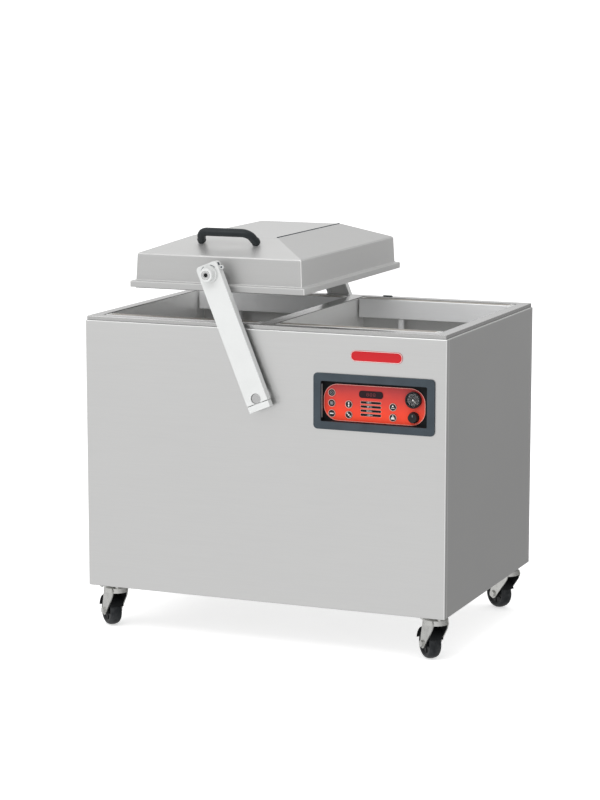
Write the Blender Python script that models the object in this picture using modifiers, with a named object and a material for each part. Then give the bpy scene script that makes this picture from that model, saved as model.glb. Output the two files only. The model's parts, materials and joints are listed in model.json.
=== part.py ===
"""Double-chamber vacuum packing machine: one swing-over lid serves two side-by-side chambers.

Metres, +Z up, +X to the operator's right, +Y towards the back.
The origin is on the floor under the middle of the cabinet.
"""

import math

import bmesh
import bpy
from mathutils import Vector

# Cabinet
BODY_W = 0.950
BODY_D = 0.670
BODY_BOTTOM = 0.120
PANEL_TOP = 0.795
SHEET = 0.0015
PANEL_RETURN = 0.014
FOLD_RADIUS = 0.0028
SEAM = 0.0003
DECK_TOP = 0.805
DECK_GAP = 0.0005
DECK_INSET = 0.003
DECK_SHEET = 0.002
TRAY_SHEET = 0.002
TRAY_LIP = 0.022
TRAY_GAP = 0.001
VENT_SLOTS = 9
VENT_PITCH = 0.026
VENT_SLOT = (0.008, 0.090)
VENT_Z = 0.330
THROUGH = 0.03

# Chambers
DIVIDER_HALF = 0.0175
RIM_SIDE = 0.0305
RIM_FRONT = 0.033
TUB_DEPTH = 0.190
TUB_SHEET = 0.002
PORT_RADIUS = 0.016
PORT_X = 0.060

# Seal bars, one in front and one at the back of each chamber
BAR_LENGTH = 0.419
BAR_THICK = 0.030
BAR_HEIGHT = 0.050
BAR_TOP = 0.8042
BAR_Y = 0.277
POST_RADIUS = 0.0085
POST_INSET = 0.113
POST_GAP = 0.0006
POST_BELOW = 0.015
BAR_LIFT = 0.012

# Swing arms and the lid's two pivots
SHAFT_Z = 0.630
SHAFT_RADIUS = 0.0125
BEARING_RADIUS = 0.0202
BEARING_FLANGE = (0.026, 0.005)
BEARING_DEPTH = 0.024
ARM_LENGTH = 0.320
REST_TILT = math.radians(22.2)
CLOSED_TILT = math.radians(46.0)
ARM_WIDTH = 0.058
ARM_DEPTH = 0.020
ARM_FRONT = 0.367
ARM_SHEET = 0.003
ARM_OVERRUN = 0.026
ARM_CORNER = 0.009
ARM_EDGE = 0.0022
ARM_FOOT = -0.0113
ARM_PIN_HOLE = 0.0084
CLAMP_HEIGHT = 0.0165
CLAMP_SPLIT = 0.0012
NOTCH_RADIUS = 0.0132
BOSS_HEIGHT = 0.022
PIVOT_X = -ARM_LENGTH * math.sin(REST_TILT)
PIVOT_Z = SHAFT_Z + ARM_LENGTH * math.cos(REST_TILT)

# Lid, measured from its pivot line
LID_FLANGE_HALF_W = 0.2325
LID_FLANGE_HALF_D = 0.330
LID_STEP = 0.011
LID_DRAFT = 0.003
LID_SLOPE_RUN = 0.106
LID_SHEET = 0.002
LID_FOLD = 0.0035
LID_FLANGE_BOTTOM = 0.882 - PIVOT_Z
LID_FLANGE_TOP = 0.8975 - PIVOT_Z
LID_WALL_TOP = 0.9645 - PIVOT_Z
LID_TOP = 1.004 - PIVOT_Z
LID_DROP = ARM_LENGTH * (math.cos(REST_TILT) - math.cos(CLOSED_TILT))
GASKET_BOTTOM = DECK_TOP + SEAM + LID_DROP - PIVOT_Z
GASKET_OUTER_HALF_W = 0.2235
GASKET_WIDTH = 0.0085
GASKET_HEIGHT = 0.012
PIN_RADIUS = 0.009
PIN_GAP = 0.0005

# Lid handle
HANDLE_RADIUS = 0.0102
HANDLE_STUD = 0.4
HANDLE_FOOT = 0.0725
HANDLE_SPLAY = 0.004
HANDLE_REACH = (0.030, 0.029)
HANDLE_BEND = 0.022
HANDLE_UP_SLOPE = 0.075

# Control panel
CONTROL_X = 0.2925
CONTROL_Z = 0.631
BEZEL_SIZE = (0.308, 0.136)
BEZEL_OPENING = (0.270, 0.098)
BEZEL_DEPTH = 0.004
TRAY_WALL = 0.002
TRAY_FLOOR_Y = 0.3185
OVERLAY_SIZE = (0.259, 0.0895)
OVERLAY_CENTRE = (0.288, 0.6273)
OVERLAY_CORNER = 0.036
OVERLAY_FRONT = 0.3205
OVERLAY_BACK = 0.3188
KEY_RADIUS = 0.0093
KEY_HOLE = 0.0097
KEY_FRONT = 0.3217
KEY_BACK = 0.3196
KEY_COLUMNS = (
    ("left", 0.1793, (0.6500, 0.6248, 0.5996)),
    ("middle", 0.2232, (0.6240, 0.5988)),
    ("right", 0.3357, (0.6240, 0.5988)),
)
WINDOW_SIZE = (0.0615, 0.0175)
WINDOW_CENTRE = (0.280, 0.6505)
GAUGE_CENTRE = (0.3884, 0.6450)
GAUGE_RADIUS = 0.020
GAUGE_DEPTH = 0.009
KNOB_CENTRE = (0.3890, 0.6028)
KNOB_RADIUS = 0.0137
KNOB_DEPTH = 0.013
BADGE_SIZE = (0.132, 0.027)
BADGE_CENTRE = (0.299, 0.7445)
BADGE_THICK = 0.0015

# Machinery on the base tray, heights measured from the tray's floor
MACHINE_FLOOR = BODY_BOTTOM + TRAY_SHEET + SEAM
PUMP_X = (-0.300, -0.060)
PUMP_HALF_DEPTH = 0.085
PUMP_AXIS = 0.125
PUMP_BARREL = 0.090
PUMP_FIN = (0.100, 0.008)
PUMP_FINS = 4
PUMP_FIN_PITCH = 0.040
PUMP_INLET = (0.022, 0.080)
PUMP_INLET_X = -0.110
PUMP_INLET_TOP = PUMP_AXIS + 0.150
MOTOR_X = (-0.0595, 0.170)
MOTOR_RADIUS = 0.078
COWL = (0.084, 0.050)
FILTER_X = -0.375
MANIFOLD_RADIUS = 0.014
RISER_RADIUS = 0.0135
MANIFOLD_DROP = 0.050
CORE_LOW, CORE_HIGH, CORE_HEIGHT = (0.250, 0.080), (0.390, 0.170), 0.110
COIL_LOW, COIL_HIGH, COIL_HEIGHTS = (0.285, 0.055), (0.355, 0.195), (0.020, 0.090)
BOARD_LOW, BOARD_HIGH, BOARD_THICK = (0.190, 0.590), (0.400, 0.672), 0.0016
RELAY_SIZE = (0.028, 0.008, 0.022)
RELAY_PLACES = ((0.205, 0.600), (0.245, 0.600), (0.285, 0.600), (0.330, 0.640))
INLET_CENTRE = (0.330, 0.205)
INLET_BODY = (0.040, 0.030)
INLET_FLANGE = (0.056, 0.046)
INLET_SOCKET = (0.024, 0.018)
INLET_GAP = 0.0015

# Casters
CASTER_X = 0.431
CASTER_Y = {"front": 0.270, "rear": 0.288}
WHEEL_RADIUS = 0.038
WHEEL_HALF_WIDTH = 0.016
TRAIL = 0.032
TRAIL_ANGLES = {"front_left": 139.0, "front_right": 135.0, "rear_left": 120.0, "rear_right": 148.0}
AXLE_RADIUS = 0.005
FORK_INNER_HALF = 0.0185
FORK_SHEET = 0.003
FORK_TOP = 0.1085
PLATE_TOP = 0.1197
PLATE_THICK = 0.003
PLATE_SIZE = (0.064, 0.092)
BOLT_X = 0.022
BOLT_Y = 0.036
RACE_RADIUS = 0.024

SMOOTH_ANGLE = math.radians(35)
MERGE = 0.00001


def clear_scene():
    for obj in list(bpy.data.objects):
        bpy.data.objects.remove(obj)


def new_collection(name, hidden=False):
    collection = bpy.data.collections.new(name)
    collection.hide_render = hidden
    bpy.context.scene.collection.children.link(collection)
    return collection


def new_material(name, colour, roughness, metallic):
    material = bpy.data.materials.new(name)
    material.use_nodes = True
    shader = material.node_tree.nodes["Principled BSDF"]
    shader.inputs["Base Color"].default_value = (*colour, 1.0)
    shader.inputs["Roughness"].default_value = roughness
    shader.inputs["Metallic"].default_value = metallic
    return material


clear_scene()
PARTS = new_collection("vacuum_chamber_sealer")
CUTTERS = new_collection("cutters", hidden=True)

STEEL = new_material("brushed_stainless", (0.62, 0.62, 0.61), 0.35, 1.0)
TUB_STEEL = new_material("chamber_stainless", (0.56, 0.56, 0.55), 0.30, 1.0)
WHITE_PAINT = new_material("white_paint", (0.85, 0.86, 0.85), 0.35, 0.0)
BRIGHT_STEEL = new_material("bright_steel", (0.72, 0.72, 0.72), 0.18, 1.0)
ZINC = new_material("zinc_plate", (0.66, 0.66, 0.64), 0.30, 1.0)
ALUMINIUM = new_material("aluminium", (0.70, 0.71, 0.72), 0.35, 1.0)
SLATE_PLASTIC = new_material("slate_plastic", (0.065, 0.085, 0.105), 0.45, 0.0)
BLACK_PLASTIC = new_material("black_plastic", (0.020, 0.022, 0.025), 0.40, 0.0)
RED_OVERLAY = new_material("red_overlay", (0.80, 0.09, 0.05), 0.40, 0.0)
SMOKED_LENS = new_material("smoked_lens", (0.05, 0.012, 0.014), 0.12, 0.0)
GREY_RUBBER = new_material("grey_rubber", (0.16, 0.16, 0.16), 0.70, 0.0)
WHEEL_RUBBER = new_material("black_rubber", (0.016, 0.017, 0.019), 0.50, 0.0)
WHITE_MARK = new_material("needle_white", (0.90, 0.90, 0.88), 0.40, 0.0)
PUMP_PAINT = new_material("pump_grey_paint", (0.20, 0.23, 0.26), 0.45, 0.0)
CAST_METAL = new_material("cast_metal", (0.32, 0.33, 0.34), 0.55, 1.0)
BOARD_GREEN = new_material("board_green", (0.02, 0.16, 0.07), 0.50, 0.0)


def add_object(name, mesh, material, location=(0, 0, 0), rotation=(0, 0, 0), parent=None):
    """A mesh as a part in the scene, or as a hidden helper where it has no material."""
    obj = bpy.data.objects.new(name, mesh)
    obj.location = location
    obj.rotation_euler = rotation
    obj.parent = parent
    if material:
        mesh.materials.append(material)
        PARTS.objects.link(obj)
    else:
        obj.hide_render = True
        obj.display_type = "WIRE"
        CUTTERS.objects.link(obj)
    return obj


def add_empty(name, location, rotation=(0, 0, 0), parent=None):
    empty = bpy.data.objects.new(name, None)
    empty.location = location
    empty.rotation_euler = rotation
    empty.parent = parent
    PARTS.objects.link(empty)
    return empty


def mesh_from(bm, name):
    mesh = bpy.data.meshes.new(name)
    bmesh.ops.recalc_face_normals(bm, faces=bm.faces)
    bm.to_mesh(mesh)
    bm.free()
    return mesh


def add_box(name, low, high, material=None, parent=None):
    """A box between two corners, with its origin at its middle."""
    low, high = Vector(low), Vector(high)
    bm = bmesh.new()
    bmesh.ops.create_cube(bm, size=1.0)
    bmesh.ops.scale(bm, vec=high - low, verts=bm.verts)
    return add_object(name, mesh_from(bm, name), material, (low + high) / 2, parent=parent)


TURN_TO = {"X": (0, math.pi / 2, 0), "Y": (-math.pi / 2, 0, 0), "Z": (0, 0, 0)}


def add_cylinder(name, radius, length, centre, axis, segments, material=None, parent=None):
    bm = bmesh.new()
    bmesh.ops.create_cone(
        bm, cap_ends=True, segments=segments, radius1=radius, radius2=radius, depth=length
    )
    mesh = mesh_from(bm, name)
    smooth(mesh)
    return add_object(name, mesh, material, centre, TURN_TO[axis], parent)


def smooth(mesh):
    mesh.shade_smooth()
    mesh.set_sharp_from_angle(angle=SMOOTH_ANGLE)


def add_turned(name, profile, ring, steps, location, rotation, material, parent=None):
    """A profile of (radius, height) points, down its outer side, turned about the local Z axis.

    A ring's profile closes on itself. Any other starts and ends on the axis.
    """
    bm = bmesh.new()
    verts = [bm.verts.new((radius, 0, height)) for radius, height in profile]
    for first, second in zip(verts, verts[1:]):
        bm.edges.new((first, second))
    if ring:
        bm.edges.new((verts[-1], verts[0]))
    mesh = bpy.data.meshes.new(name)
    bm.to_mesh(mesh)
    bm.free()
    obj = add_object(name, mesh, material, location, rotation, parent)
    screw = obj.modifiers.new("turn", "SCREW")
    screw.steps = steps
    screw.render_steps = steps
    screw.use_merge_vertices = True
    screw.merge_threshold = MERGE
    screw.use_smooth_shade = True
    return obj


def arc(centre, radius, start, end, segments):
    """Points of an arc, angles in degrees, both ends included."""
    points = []
    for step in range(segments + 1):
        angle = math.radians(start + (end - start) * step / segments)
        points.append((centre[0] + radius * math.cos(angle), centre[1] + radius * math.sin(angle)))
    return points


def circle(centre, radius, segments):
    return arc(centre, radius, 0, 360, segments)[:-1]


def rounded_rectangle(size, radius, segments, centre=(0, 0)):
    half_w, half_h = size[0] / 2 - radius, size[1] / 2 - radius
    corners = ((half_w, half_h, 0), (-half_w, half_h, 90), (-half_w, -half_h, 180), (half_w, -half_h, 270))
    points = []
    for x, y, start in corners:
        middle = (centre[0] + x, centre[1] + y)
        points += arc(middle, radius, start, start + 90, segments)
    return points


FACING_FRONT = (math.pi / 2, 0, 0)


def add_plate(name, outlines, thickness, location, rotation, material=None, parent=None):
    """Flat outlines, the first one the edge and the others holes, given a thickness about their plane."""
    curve = bpy.data.curves.new(name, "CURVE")
    curve.dimensions = "2D"
    curve.fill_mode = "BOTH"
    curve.extrude = thickness / 2
    for outline in outlines:
        spline = curve.splines.new("POLY")
        spline.points.add(len(outline) - 1)
        for point, (x, y) in zip(spline.points, outline):
            point.co = (x, y, 0, 1)
        spline.use_cyclic_u = True
    mesh = mesh_of_curve(curve, name)
    return add_object(name, mesh, material, location, rotation, parent)


def mesh_of_curve(curve, name):
    guide = bpy.data.objects.new(name + "_curve", curve)
    bpy.context.scene.collection.objects.link(guide)
    graph = bpy.context.evaluated_depsgraph_get()
    mesh = bpy.data.meshes.new_from_object(guide.evaluated_get(graph))
    bpy.data.objects.remove(guide)
    bpy.data.curves.remove(curve)
    mesh.name = name
    mesh.materials.clear()
    bm = bmesh.new()
    bm.from_mesh(mesh)
    bmesh.ops.remove_doubles(bm, verts=bm.verts, dist=MERGE)
    bmesh.ops.recalc_face_normals(bm, faces=bm.faces)
    bm.to_mesh(mesh)
    bm.free()
    smooth(mesh)
    return mesh


def tube_mesh(name, points, radius, resolution, factors):
    """A round tube through the points, with closed ends and a radius factor at each point."""
    curve = bpy.data.curves.new(name, "CURVE")
    curve.dimensions = "3D"
    curve.bevel_depth = radius
    curve.bevel_resolution = resolution
    curve.use_fill_caps = True
    spline = curve.splines.new("POLY")
    spline.points.add(len(points) - 1)
    for point, co, factor in zip(spline.points, points, factors):
        point.co = (*co, 1)
        point.radius = factor
    return mesh_of_curve(curve, name)


def add_bevel(obj, width, segments, angle=30.0):
    bevel = obj.modifiers.new("edges", "BEVEL")
    bevel.width = width
    bevel.segments = segments
    bevel.limit_method = "ANGLE"
    bevel.angle_limit = math.radians(angle)
    return obj


def boolean(obj, other, operation):
    modifier = obj.modifiers.new(operation.lower() + "_" + other.name, "BOOLEAN")
    modifier.operation = operation
    modifier.solver = "EXACT"
    modifier.object = other


def cut(obj, *cutters):
    for cutter in cutters:
        boolean(obj, cutter, "DIFFERENCE")
    return obj


def fuse(obj, *helpers):
    for helper in helpers:
        boolean(obj, helper, "UNION")
    return obj


# ---------------------------------------------------------------- cabinet


def folded_panel(name, half_width, height_low, height_high, location, rotation):
    """A sheet panel with returns on its four edges, facing local -Y with its face at y = 0."""
    mount = add_empty(name + "_frame", location, rotation)
    low = (-half_width, 0, height_low)
    high = (half_width, PANEL_RETURN + FOLD_RADIUS * 2, height_high)
    panel = add_box(name, low, high, STEEL, mount)
    add_bevel(panel, FOLD_RADIUS, 3)
    inner_low = (-half_width + SHEET, SHEET, height_low + SHEET)
    inner_high = (half_width - SHEET, PANEL_RETURN * 3, height_high - SHEET)
    pocket = add_box(name + "_pocket", inner_low, inner_high, parent=mount)
    slice_low = (-half_width * 1.1, PANEL_RETURN, height_low - SHEET)
    slice_high = (half_width * 1.1, PANEL_RETURN * 4, height_high + SHEET)
    return cut(panel, pocket, add_box(name + "_slice", slice_low, slice_high, parent=mount))


def add_front_panel():
    panel = folded_panel("front_panel", BODY_W / 2, BODY_BOTTOM, PANEL_TOP, (0, -BODY_D / 2, 0), (0, 0, 0))
    clearance = 2 * (TRAY_WALL + SEAM * 2)
    hole = (BEZEL_OPENING[0] + clearance, BEZEL_OPENING[1] + clearance)
    outline = rounded_rectangle(hole, 0.003, 2)
    recess = add_plate(
        "recess_cutter", [outline], THROUGH, (CONTROL_X, -BODY_D / 2, CONTROL_Z), FACING_FRONT
    )
    return cut(panel, recess, shaft_hole("front", -1))


def shaft_hole(name, side):
    centre = (0, side * BODY_D / 2, SHAFT_Z)
    return add_cylinder(name + "_shaft_hole", BEARING_RADIUS + SEAM, THROUGH, centre, "Y", 24)


def add_back_panel():
    half_turn = (0, 0, math.pi)
    panel = folded_panel("back_panel", BODY_W / 2, BODY_BOTTOM, PANEL_TOP, (0, BODY_D / 2, 0), half_turn)
    cut(panel, shaft_hole("rear", 1))
    slot = rounded_rectangle(VENT_SLOT, 0.0039, 2)
    for index in range(VENT_SLOTS):
        x = (index - (VENT_SLOTS - 1) / 2) * VENT_PITCH
        place = (x, BODY_D / 2, VENT_Z)
        cut(panel, add_plate(f"vent_slot_{index}", [slot], THROUGH, place, FACING_FRONT))
    hole = (INLET_BODY[0] + 2 * INLET_GAP, INLET_BODY[1] + 2 * INLET_GAP)
    return cut(panel, inlet_block("inlet_hole", hole, BODY_D / 2 - THROUGH, BODY_D / 2 + THROUGH))


def add_side_panels():
    half_width = BODY_D / 2 - PANEL_RETURN - SEAM
    for name, side in (("left_side_panel", -1), ("right_side_panel", 1)):
        turn = (0, 0, side * math.pi / 2)
        folded_panel(name, half_width, BODY_BOTTOM, PANEL_TOP, (side * BODY_W / 2, 0, 0), turn)


def add_base_tray():
    half_w = BODY_W / 2 - PANEL_RETURN - TRAY_GAP
    half_d = BODY_D / 2 - PANEL_RETURN - TRAY_GAP
    low, high = (-half_w, -half_d, BODY_BOTTOM), (half_w, half_d, BODY_BOTTOM + TRAY_LIP)
    tray = add_box("base_tray", low, high, STEEL)
    pocket_low = (-half_w + TRAY_SHEET, -half_d + TRAY_SHEET, BODY_BOTTOM + TRAY_SHEET)
    pocket_high = (half_w - TRAY_SHEET, half_d - TRAY_SHEET, BODY_BOTTOM + 2 * TRAY_LIP)
    return cut(tray, add_box("base_tray_pocket", pocket_low, pocket_high))


def chamber_span():
    """(low x, high x) of the right chamber's opening."""
    return DIVIDER_HALF, BODY_W / 2 - RIM_SIDE


def chamber_size(grow):
    """(width, depth) of a chamber, grown by a sheet's thickness on every side."""
    low, high = chamber_span()
    return high - low + 2 * grow, BODY_D - 2 * RIM_FRONT + 2 * grow


def chamber_block(name, side, grow, bottom, top, material=None):
    half_w, half_d = (measure / 2 for measure in chamber_size(grow))
    centre = chamber_centre(side)
    return add_box(name, (centre - half_w, -half_d, bottom), (centre + half_w, half_d, top), material)


def chamber_centre(side):
    return side * sum(chamber_span()) / 2


def add_top_deck():
    half_w, half_d = BODY_W / 2 - DECK_INSET, BODY_D / 2 - DECK_INSET
    bottom = PANEL_TOP + DECK_GAP
    deck = add_box("top_deck", (-half_w, -half_d, bottom - 0.01), (half_w, half_d, DECK_TOP), STEEL)
    add_bevel(deck, 0.0018, 2)
    slab = add_box("deck_slice", (-0.6, -0.5, bottom - 0.02), (0.6, 0.5, bottom))
    under = add_box(
        "deck_underside",
        (-half_w + DECK_SHEET, -half_d + DECK_SHEET, bottom - 0.01),
        (half_w - DECK_SHEET, half_d - DECK_SHEET, DECK_TOP - DECK_SHEET),
    )
    cut(deck, slab, under)
    for name, side in (("left", -1), ("right", 1)):
        cut(deck, chamber_block(name + "_deck_opening", side, 0, DECK_TOP - 0.015, DECK_TOP + 0.015))


def post_places(side):
    """(x, y) of the four seal-bar posts of one chamber."""
    half = BAR_LENGTH / 2 - POST_INSET
    centre = chamber_centre(side)
    return [(centre + dx, y) for dx in (-half, half) for y in (-BAR_Y, BAR_Y)]


def add_chamber_tub(name, side):
    """An open box with a hole in its floor for each post, and the air port."""
    top = DECK_TOP - DECK_SHEET - SEAM
    floor = DECK_TOP - TUB_DEPTH
    bottom = floor - TUB_SHEET
    tub = chamber_block(name, side, TUB_SHEET, bottom, top, TUB_STEEL)
    cut(tub, chamber_block(name + "_inside", side, 0, floor, top + 0.02))
    for index, (x, y) in enumerate(post_places(side)):
        hole_name = f"{name}_post_hole_{index}"
        cut(tub, add_cylinder(hole_name, POST_RADIUS + POST_GAP, THROUGH, (x, y, bottom), "Z", 12))
    port = add_cylinder(name + "_port", PORT_RADIUS, THROUGH, (side * PORT_X, 0, bottom), "Z", 16)
    return cut(tub, port)


def add_seal_bar(name, side, y_side):
    """A seal bar on two posts, which slide through the chamber's floor."""
    floor = DECK_TOP - TUB_DEPTH
    centre = chamber_centre(side)
    y = y_side * BAR_Y
    half = BAR_LENGTH / 2
    low = (centre - half, y - BAR_THICK / 2, BAR_TOP - BAR_HEIGHT)
    bar = add_box(name, low, (centre + half, y + BAR_THICK / 2, BAR_TOP), ALUMINIUM)
    add_bevel(bar, 0.0015, 1)
    bottom = floor - TUB_SHEET - POST_BELOW
    height = BAR_TOP - BAR_HEIGHT / 2 - bottom
    for index, dx in enumerate((-half + POST_INSET, half - POST_INSET)):
        post_centre = (centre + dx, y, bottom + height / 2)
        fuse(bar, add_cylinder(f"{name}_post_{index}", POST_RADIUS, height, post_centre, "Z", 12))
    return bar


def add_shaft_bearing(name, side):
    """A flanged bush, its flange outside the panel."""
    face = BODY_D / 2 + SEAM
    bore = SHAFT_RADIUS + 0.0003
    flange_radius, flange_thick = BEARING_FLANGE
    inner_end = BODY_D / 2 - BEARING_DEPTH
    profile = [
        (bore, face + flange_thick),
        (flange_radius, face + flange_thick),
        (flange_radius, face),
        (BEARING_RADIUS, face),
        (BEARING_RADIUS, inner_end),
        (bore, inner_end),
    ]
    rotation = (math.pi / 2 if side < 0 else -math.pi / 2, 0, 0)
    return add_turned(name, profile, True, 20, (0, 0, SHAFT_Z), rotation, BRIGHT_STEEL)


# ---------------------------------------------------------------- arms


def arm_outline():
    """The arm's front view before its foot is trimmed, z up from the shaft."""
    half = ARM_WIDTH / 2
    top = ARM_LENGTH + ARM_OVERRUN
    bottom = ARM_FOOT - 2 * ARM_EDGE
    points = [(-half, bottom), (half, bottom)]
    points += arc((half - ARM_CORNER, top - ARM_CORNER), ARM_CORNER, 0, 90, 4)
    points += arc((-half + ARM_CORNER, top - ARM_CORNER), ARM_CORNER, 90, 180, 4)
    return points


def add_arm(name, frame):
    """A folded channel, open towards the cabinet, with a hole for the shaft near its lower end."""
    thickness = ARM_DEPTH + 3 * ARM_EDGE
    middle_y = -ARM_FRONT + thickness / 2
    arm = add_plate(name, [arm_outline()], thickness, (0, middle_y, 0), FACING_FRONT, WHITE_PAINT, frame)
    add_bevel(arm, ARM_EDGE, 2, 50.0)
    half = ARM_WIDTH / 2
    back = -ARM_FRONT + ARM_DEPTH
    top = ARM_LENGTH + ARM_OVERRUN
    past = 0.02
    trim_low, trim_high = (-half - past, back, ARM_FOOT - past), (half + past, back + past, top + past)
    trim = add_box(name + "_back_trim", trim_low, trim_high, parent=frame)
    foot_low = (-half - past, -ARM_FRONT - past, ARM_FOOT - past)
    foot_high = (half + past, back + past, ARM_FOOT)
    foot = add_box(name + "_foot_trim", foot_low, foot_high, parent=frame)
    channel = add_box(
        name + "_channel",
        (-half + ARM_SHEET, -ARM_FRONT + ARM_SHEET, ARM_FOOT - past),
        (half - ARM_SHEET, back + past, top - ARM_SHEET),
        parent=frame,
    )
    saddle = add_cylinder(name + "_saddle", NOTCH_RADIUS, past, (0, -ARM_FRONT, 0), "Y", 24, parent=frame)
    pin_hole = add_cylinder(
        name + "_pin_hole", ARM_PIN_HOLE, past, (0, -ARM_FRONT, ARM_LENGTH), "Y", 20, parent=frame
    )
    return cut(arm, trim, foot, channel, saddle, pin_hole)


def add_arm_clamp(name, frame):
    """The cap under the arm's foot, with a saddle that holds the shaft inside the channel."""
    half = ARM_WIDTH / 2
    front, back = -ARM_FRONT, -ARM_FRONT + ARM_DEPTH
    top = ARM_FOOT - CLAMP_SPLIT
    clamp = add_box(name, (-half, front, top - CLAMP_HEIGHT), (half, back, top), WHITE_PAINT, frame)
    add_bevel(clamp, 0.0015, 2)
    inset = ARM_SHEET + SEAM
    saddle_low = (-half + inset, front + inset, top - CLAMP_HEIGHT / 2)
    saddle = add_box(name + "_saddle", saddle_low, (half - inset, back - 0.001, 0), parent=frame)
    fuse(clamp, saddle)
    groove_centre = (0, front + ARM_SHEET + ARM_DEPTH / 2, 0)
    groove = add_cylinder(name + "_groove", NOTCH_RADIUS, ARM_DEPTH, groove_centre, "Y", 24, parent=frame)
    return cut(clamp, groove)


def add_cross_shaft(frame):
    length = 2 * (ARM_FRONT - ARM_SHEET - SEAM)
    return add_cylinder("cross_shaft", SHAFT_RADIUS, length, (0, 0, 0), "Y", 24, BRIGHT_STEEL, frame)


def lid_wall_y(height):
    """Outer face of the lid's front wall at a height measured from the pivot line."""
    share = (height - LID_FLANGE_TOP) / (LID_WALL_TOP - LID_FLANGE_TOP)
    return LID_FLANGE_HALF_D - LID_STEP - LID_DRAFT * share


def add_lid_pivot(name, frame):
    """Boss outside the arm, shoulder behind it, and the journal that carries the lid."""
    wall = lid_wall_y(0)
    front = ARM_FRONT + SEAM
    web_back = ARM_FRONT - ARM_SHEET - SEAM
    profile = [
        (0, front + BOSS_HEIGHT - 0.0025),
        (0.0078, front + BOSS_HEIGHT - 0.0025),
        (0.0084, front + BOSS_HEIGHT),
        (0.0152, front + BOSS_HEIGHT),
        (0.0165, front + BOSS_HEIGHT - 0.0013),
        (0.0165, front + 0.0050),
        (0.0210, front + 0.0050),
        (0.0210, front),
        (0.0080, front),
        (0.0080, web_back),
        (0.0140, web_back),
        (0.0140, wall + 0.0010),
        (PIN_RADIUS, wall + 0.0010),
        (PIN_RADIUS, wall - LID_SHEET - 0.0014),
        (0.0140, wall - LID_SHEET - 0.0014),
        (0.0140, wall - LID_SHEET - 0.0060),
        (0, wall - LID_SHEET - 0.0060),
    ]
    place = (0, 0, ARM_LENGTH)
    pivot = add_turned(name, profile, False, 20, place, (math.pi / 2, 0, 0), WHITE_PAINT, frame)
    socket_centre = (0, -front - BOSS_HEIGHT + 0.0025, ARM_LENGTH)
    return cut(pivot, add_cylinder(name + "_socket", 0.0045, 0.010, socket_centre, "Y", 6, parent=frame))


def add_arms():
    swing = add_empty("arm_swing_axis", (0, 0, SHAFT_Z), (0, -REST_TILT, 0))
    add_cross_shaft(swing)
    for side, turn in (("front", 0), ("rear", math.pi)):
        frame = add_empty(side + "_arm_frame", (0, 0, 0), (0, 0, turn), swing)
        add_arm(side + "_arm", frame)
        add_arm_clamp(side + "_arm_clamp", frame)
        add_lid_pivot(side + "_lid_pivot", frame)


# ---------------------------------------------------------------- lid


def lid_sections():
    """(half width, half depth, height) of the lid from its lower edge to its flat top."""
    wall_w, wall_d = LID_FLANGE_HALF_W - LID_STEP, LID_FLANGE_HALF_D - LID_STEP
    top_w, top_d = wall_w - LID_DRAFT, wall_d - LID_DRAFT
    return [
        (LID_FLANGE_HALF_W, LID_FLANGE_HALF_D, LID_FLANGE_BOTTOM),
        (LID_FLANGE_HALF_W, LID_FLANGE_HALF_D, LID_FLANGE_TOP),
        (wall_w, wall_d, LID_FLANGE_TOP),
        (top_w, top_d, LID_WALL_TOP),
        (top_w - LID_SLOPE_RUN, top_d - LID_SLOPE_RUN, LID_TOP),
    ]


def add_lid_shell(axis):
    """The lid's skin: a loft through its rectangular sections, closed on top and open below."""
    bm = bmesh.new()
    rings = []
    for half_w, half_d, height in lid_sections():
        corners = ((-1, -1), (1, -1), (1, 1), (-1, 1))
        rings.append([bm.verts.new((i * half_w, j * half_d, height)) for i, j in corners])
    for lower, upper in zip(rings, rings[1:]):
        for index in range(4):
            after = (index + 1) % 4
            bm.faces.new((lower[index], lower[after], upper[after], upper[index]))
    bm.faces.new(rings[-1])
    mesh = mesh_from(bm, "lid_shell")
    shell = add_object("lid_shell", mesh, STEEL, parent=axis)
    add_bevel(shell, LID_FOLD, 2, 12.0)
    skin = shell.modifiers.new("sheet", "SOLIDIFY")
    skin.thickness = LID_SHEET
    skin.offset = -1.0
    skin.use_even_offset = True
    hole = add_cylinder("lid_pin_holes", PIN_RADIUS + PIN_GAP, 0.8, (0, 0, 0), "Y", 24, parent=axis)
    return cut(shell, hole)


def add_lid_gasket(axis):
    half_w = GASKET_OUTER_HALF_W
    half_d = LID_FLANGE_HALF_D - (LID_FLANGE_HALF_W - GASKET_OUTER_HALF_W)
    outer = rounded_rectangle((2 * half_w, 2 * half_d), 0.006, 3)
    inner = rounded_rectangle((2 * (half_w - GASKET_WIDTH), 2 * (half_d - GASKET_WIDTH)), 0.002, 3)
    place = (0, 0, GASKET_BOTTOM + GASKET_HEIGHT / 2)
    gasket = add_plate("lid_gasket", [outer, inner], GASKET_HEIGHT, place, (0, 0, 0), GREY_RUBBER, axis)
    return gasket


def add_counter_bar(name, axis, side):
    """An angle inside the lid, with the silicone bead that a seal bar presses the bag against."""
    outer = lid_wall_y(0.009) - LID_SHEET - 0.0008
    bottom = BAR_TOP + BAR_LIFT + LID_DROP + 0.001 - PIVOT_Z
    inner = BAR_Y - BAR_THICK / 2
    outline = [
        (inner, bottom + 0.004),
        (BAR_Y - 0.007, bottom + 0.004),
        (BAR_Y - 0.005, bottom),
        (BAR_Y + 0.005, bottom),
        (BAR_Y + 0.007, bottom + 0.004),
        (outer, bottom + 0.004),
        (outer, bottom + 0.018),
        (outer - 0.003, bottom + 0.018),
        (outer - 0.003, bottom + 0.008),
        (inner, bottom + 0.008),
    ]
    if side < 0:
        outline = [(-y, z) for y, z in reversed(outline)]
    along_x = (math.pi / 2, 0, math.pi / 2)
    return add_plate(name, [outline], 0.380, (0, 0, 0), along_x, ALUMINIUM, axis)


def slope_angle():
    return math.atan2(LID_TOP - LID_WALL_TOP, LID_SLOPE_RUN)


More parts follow.
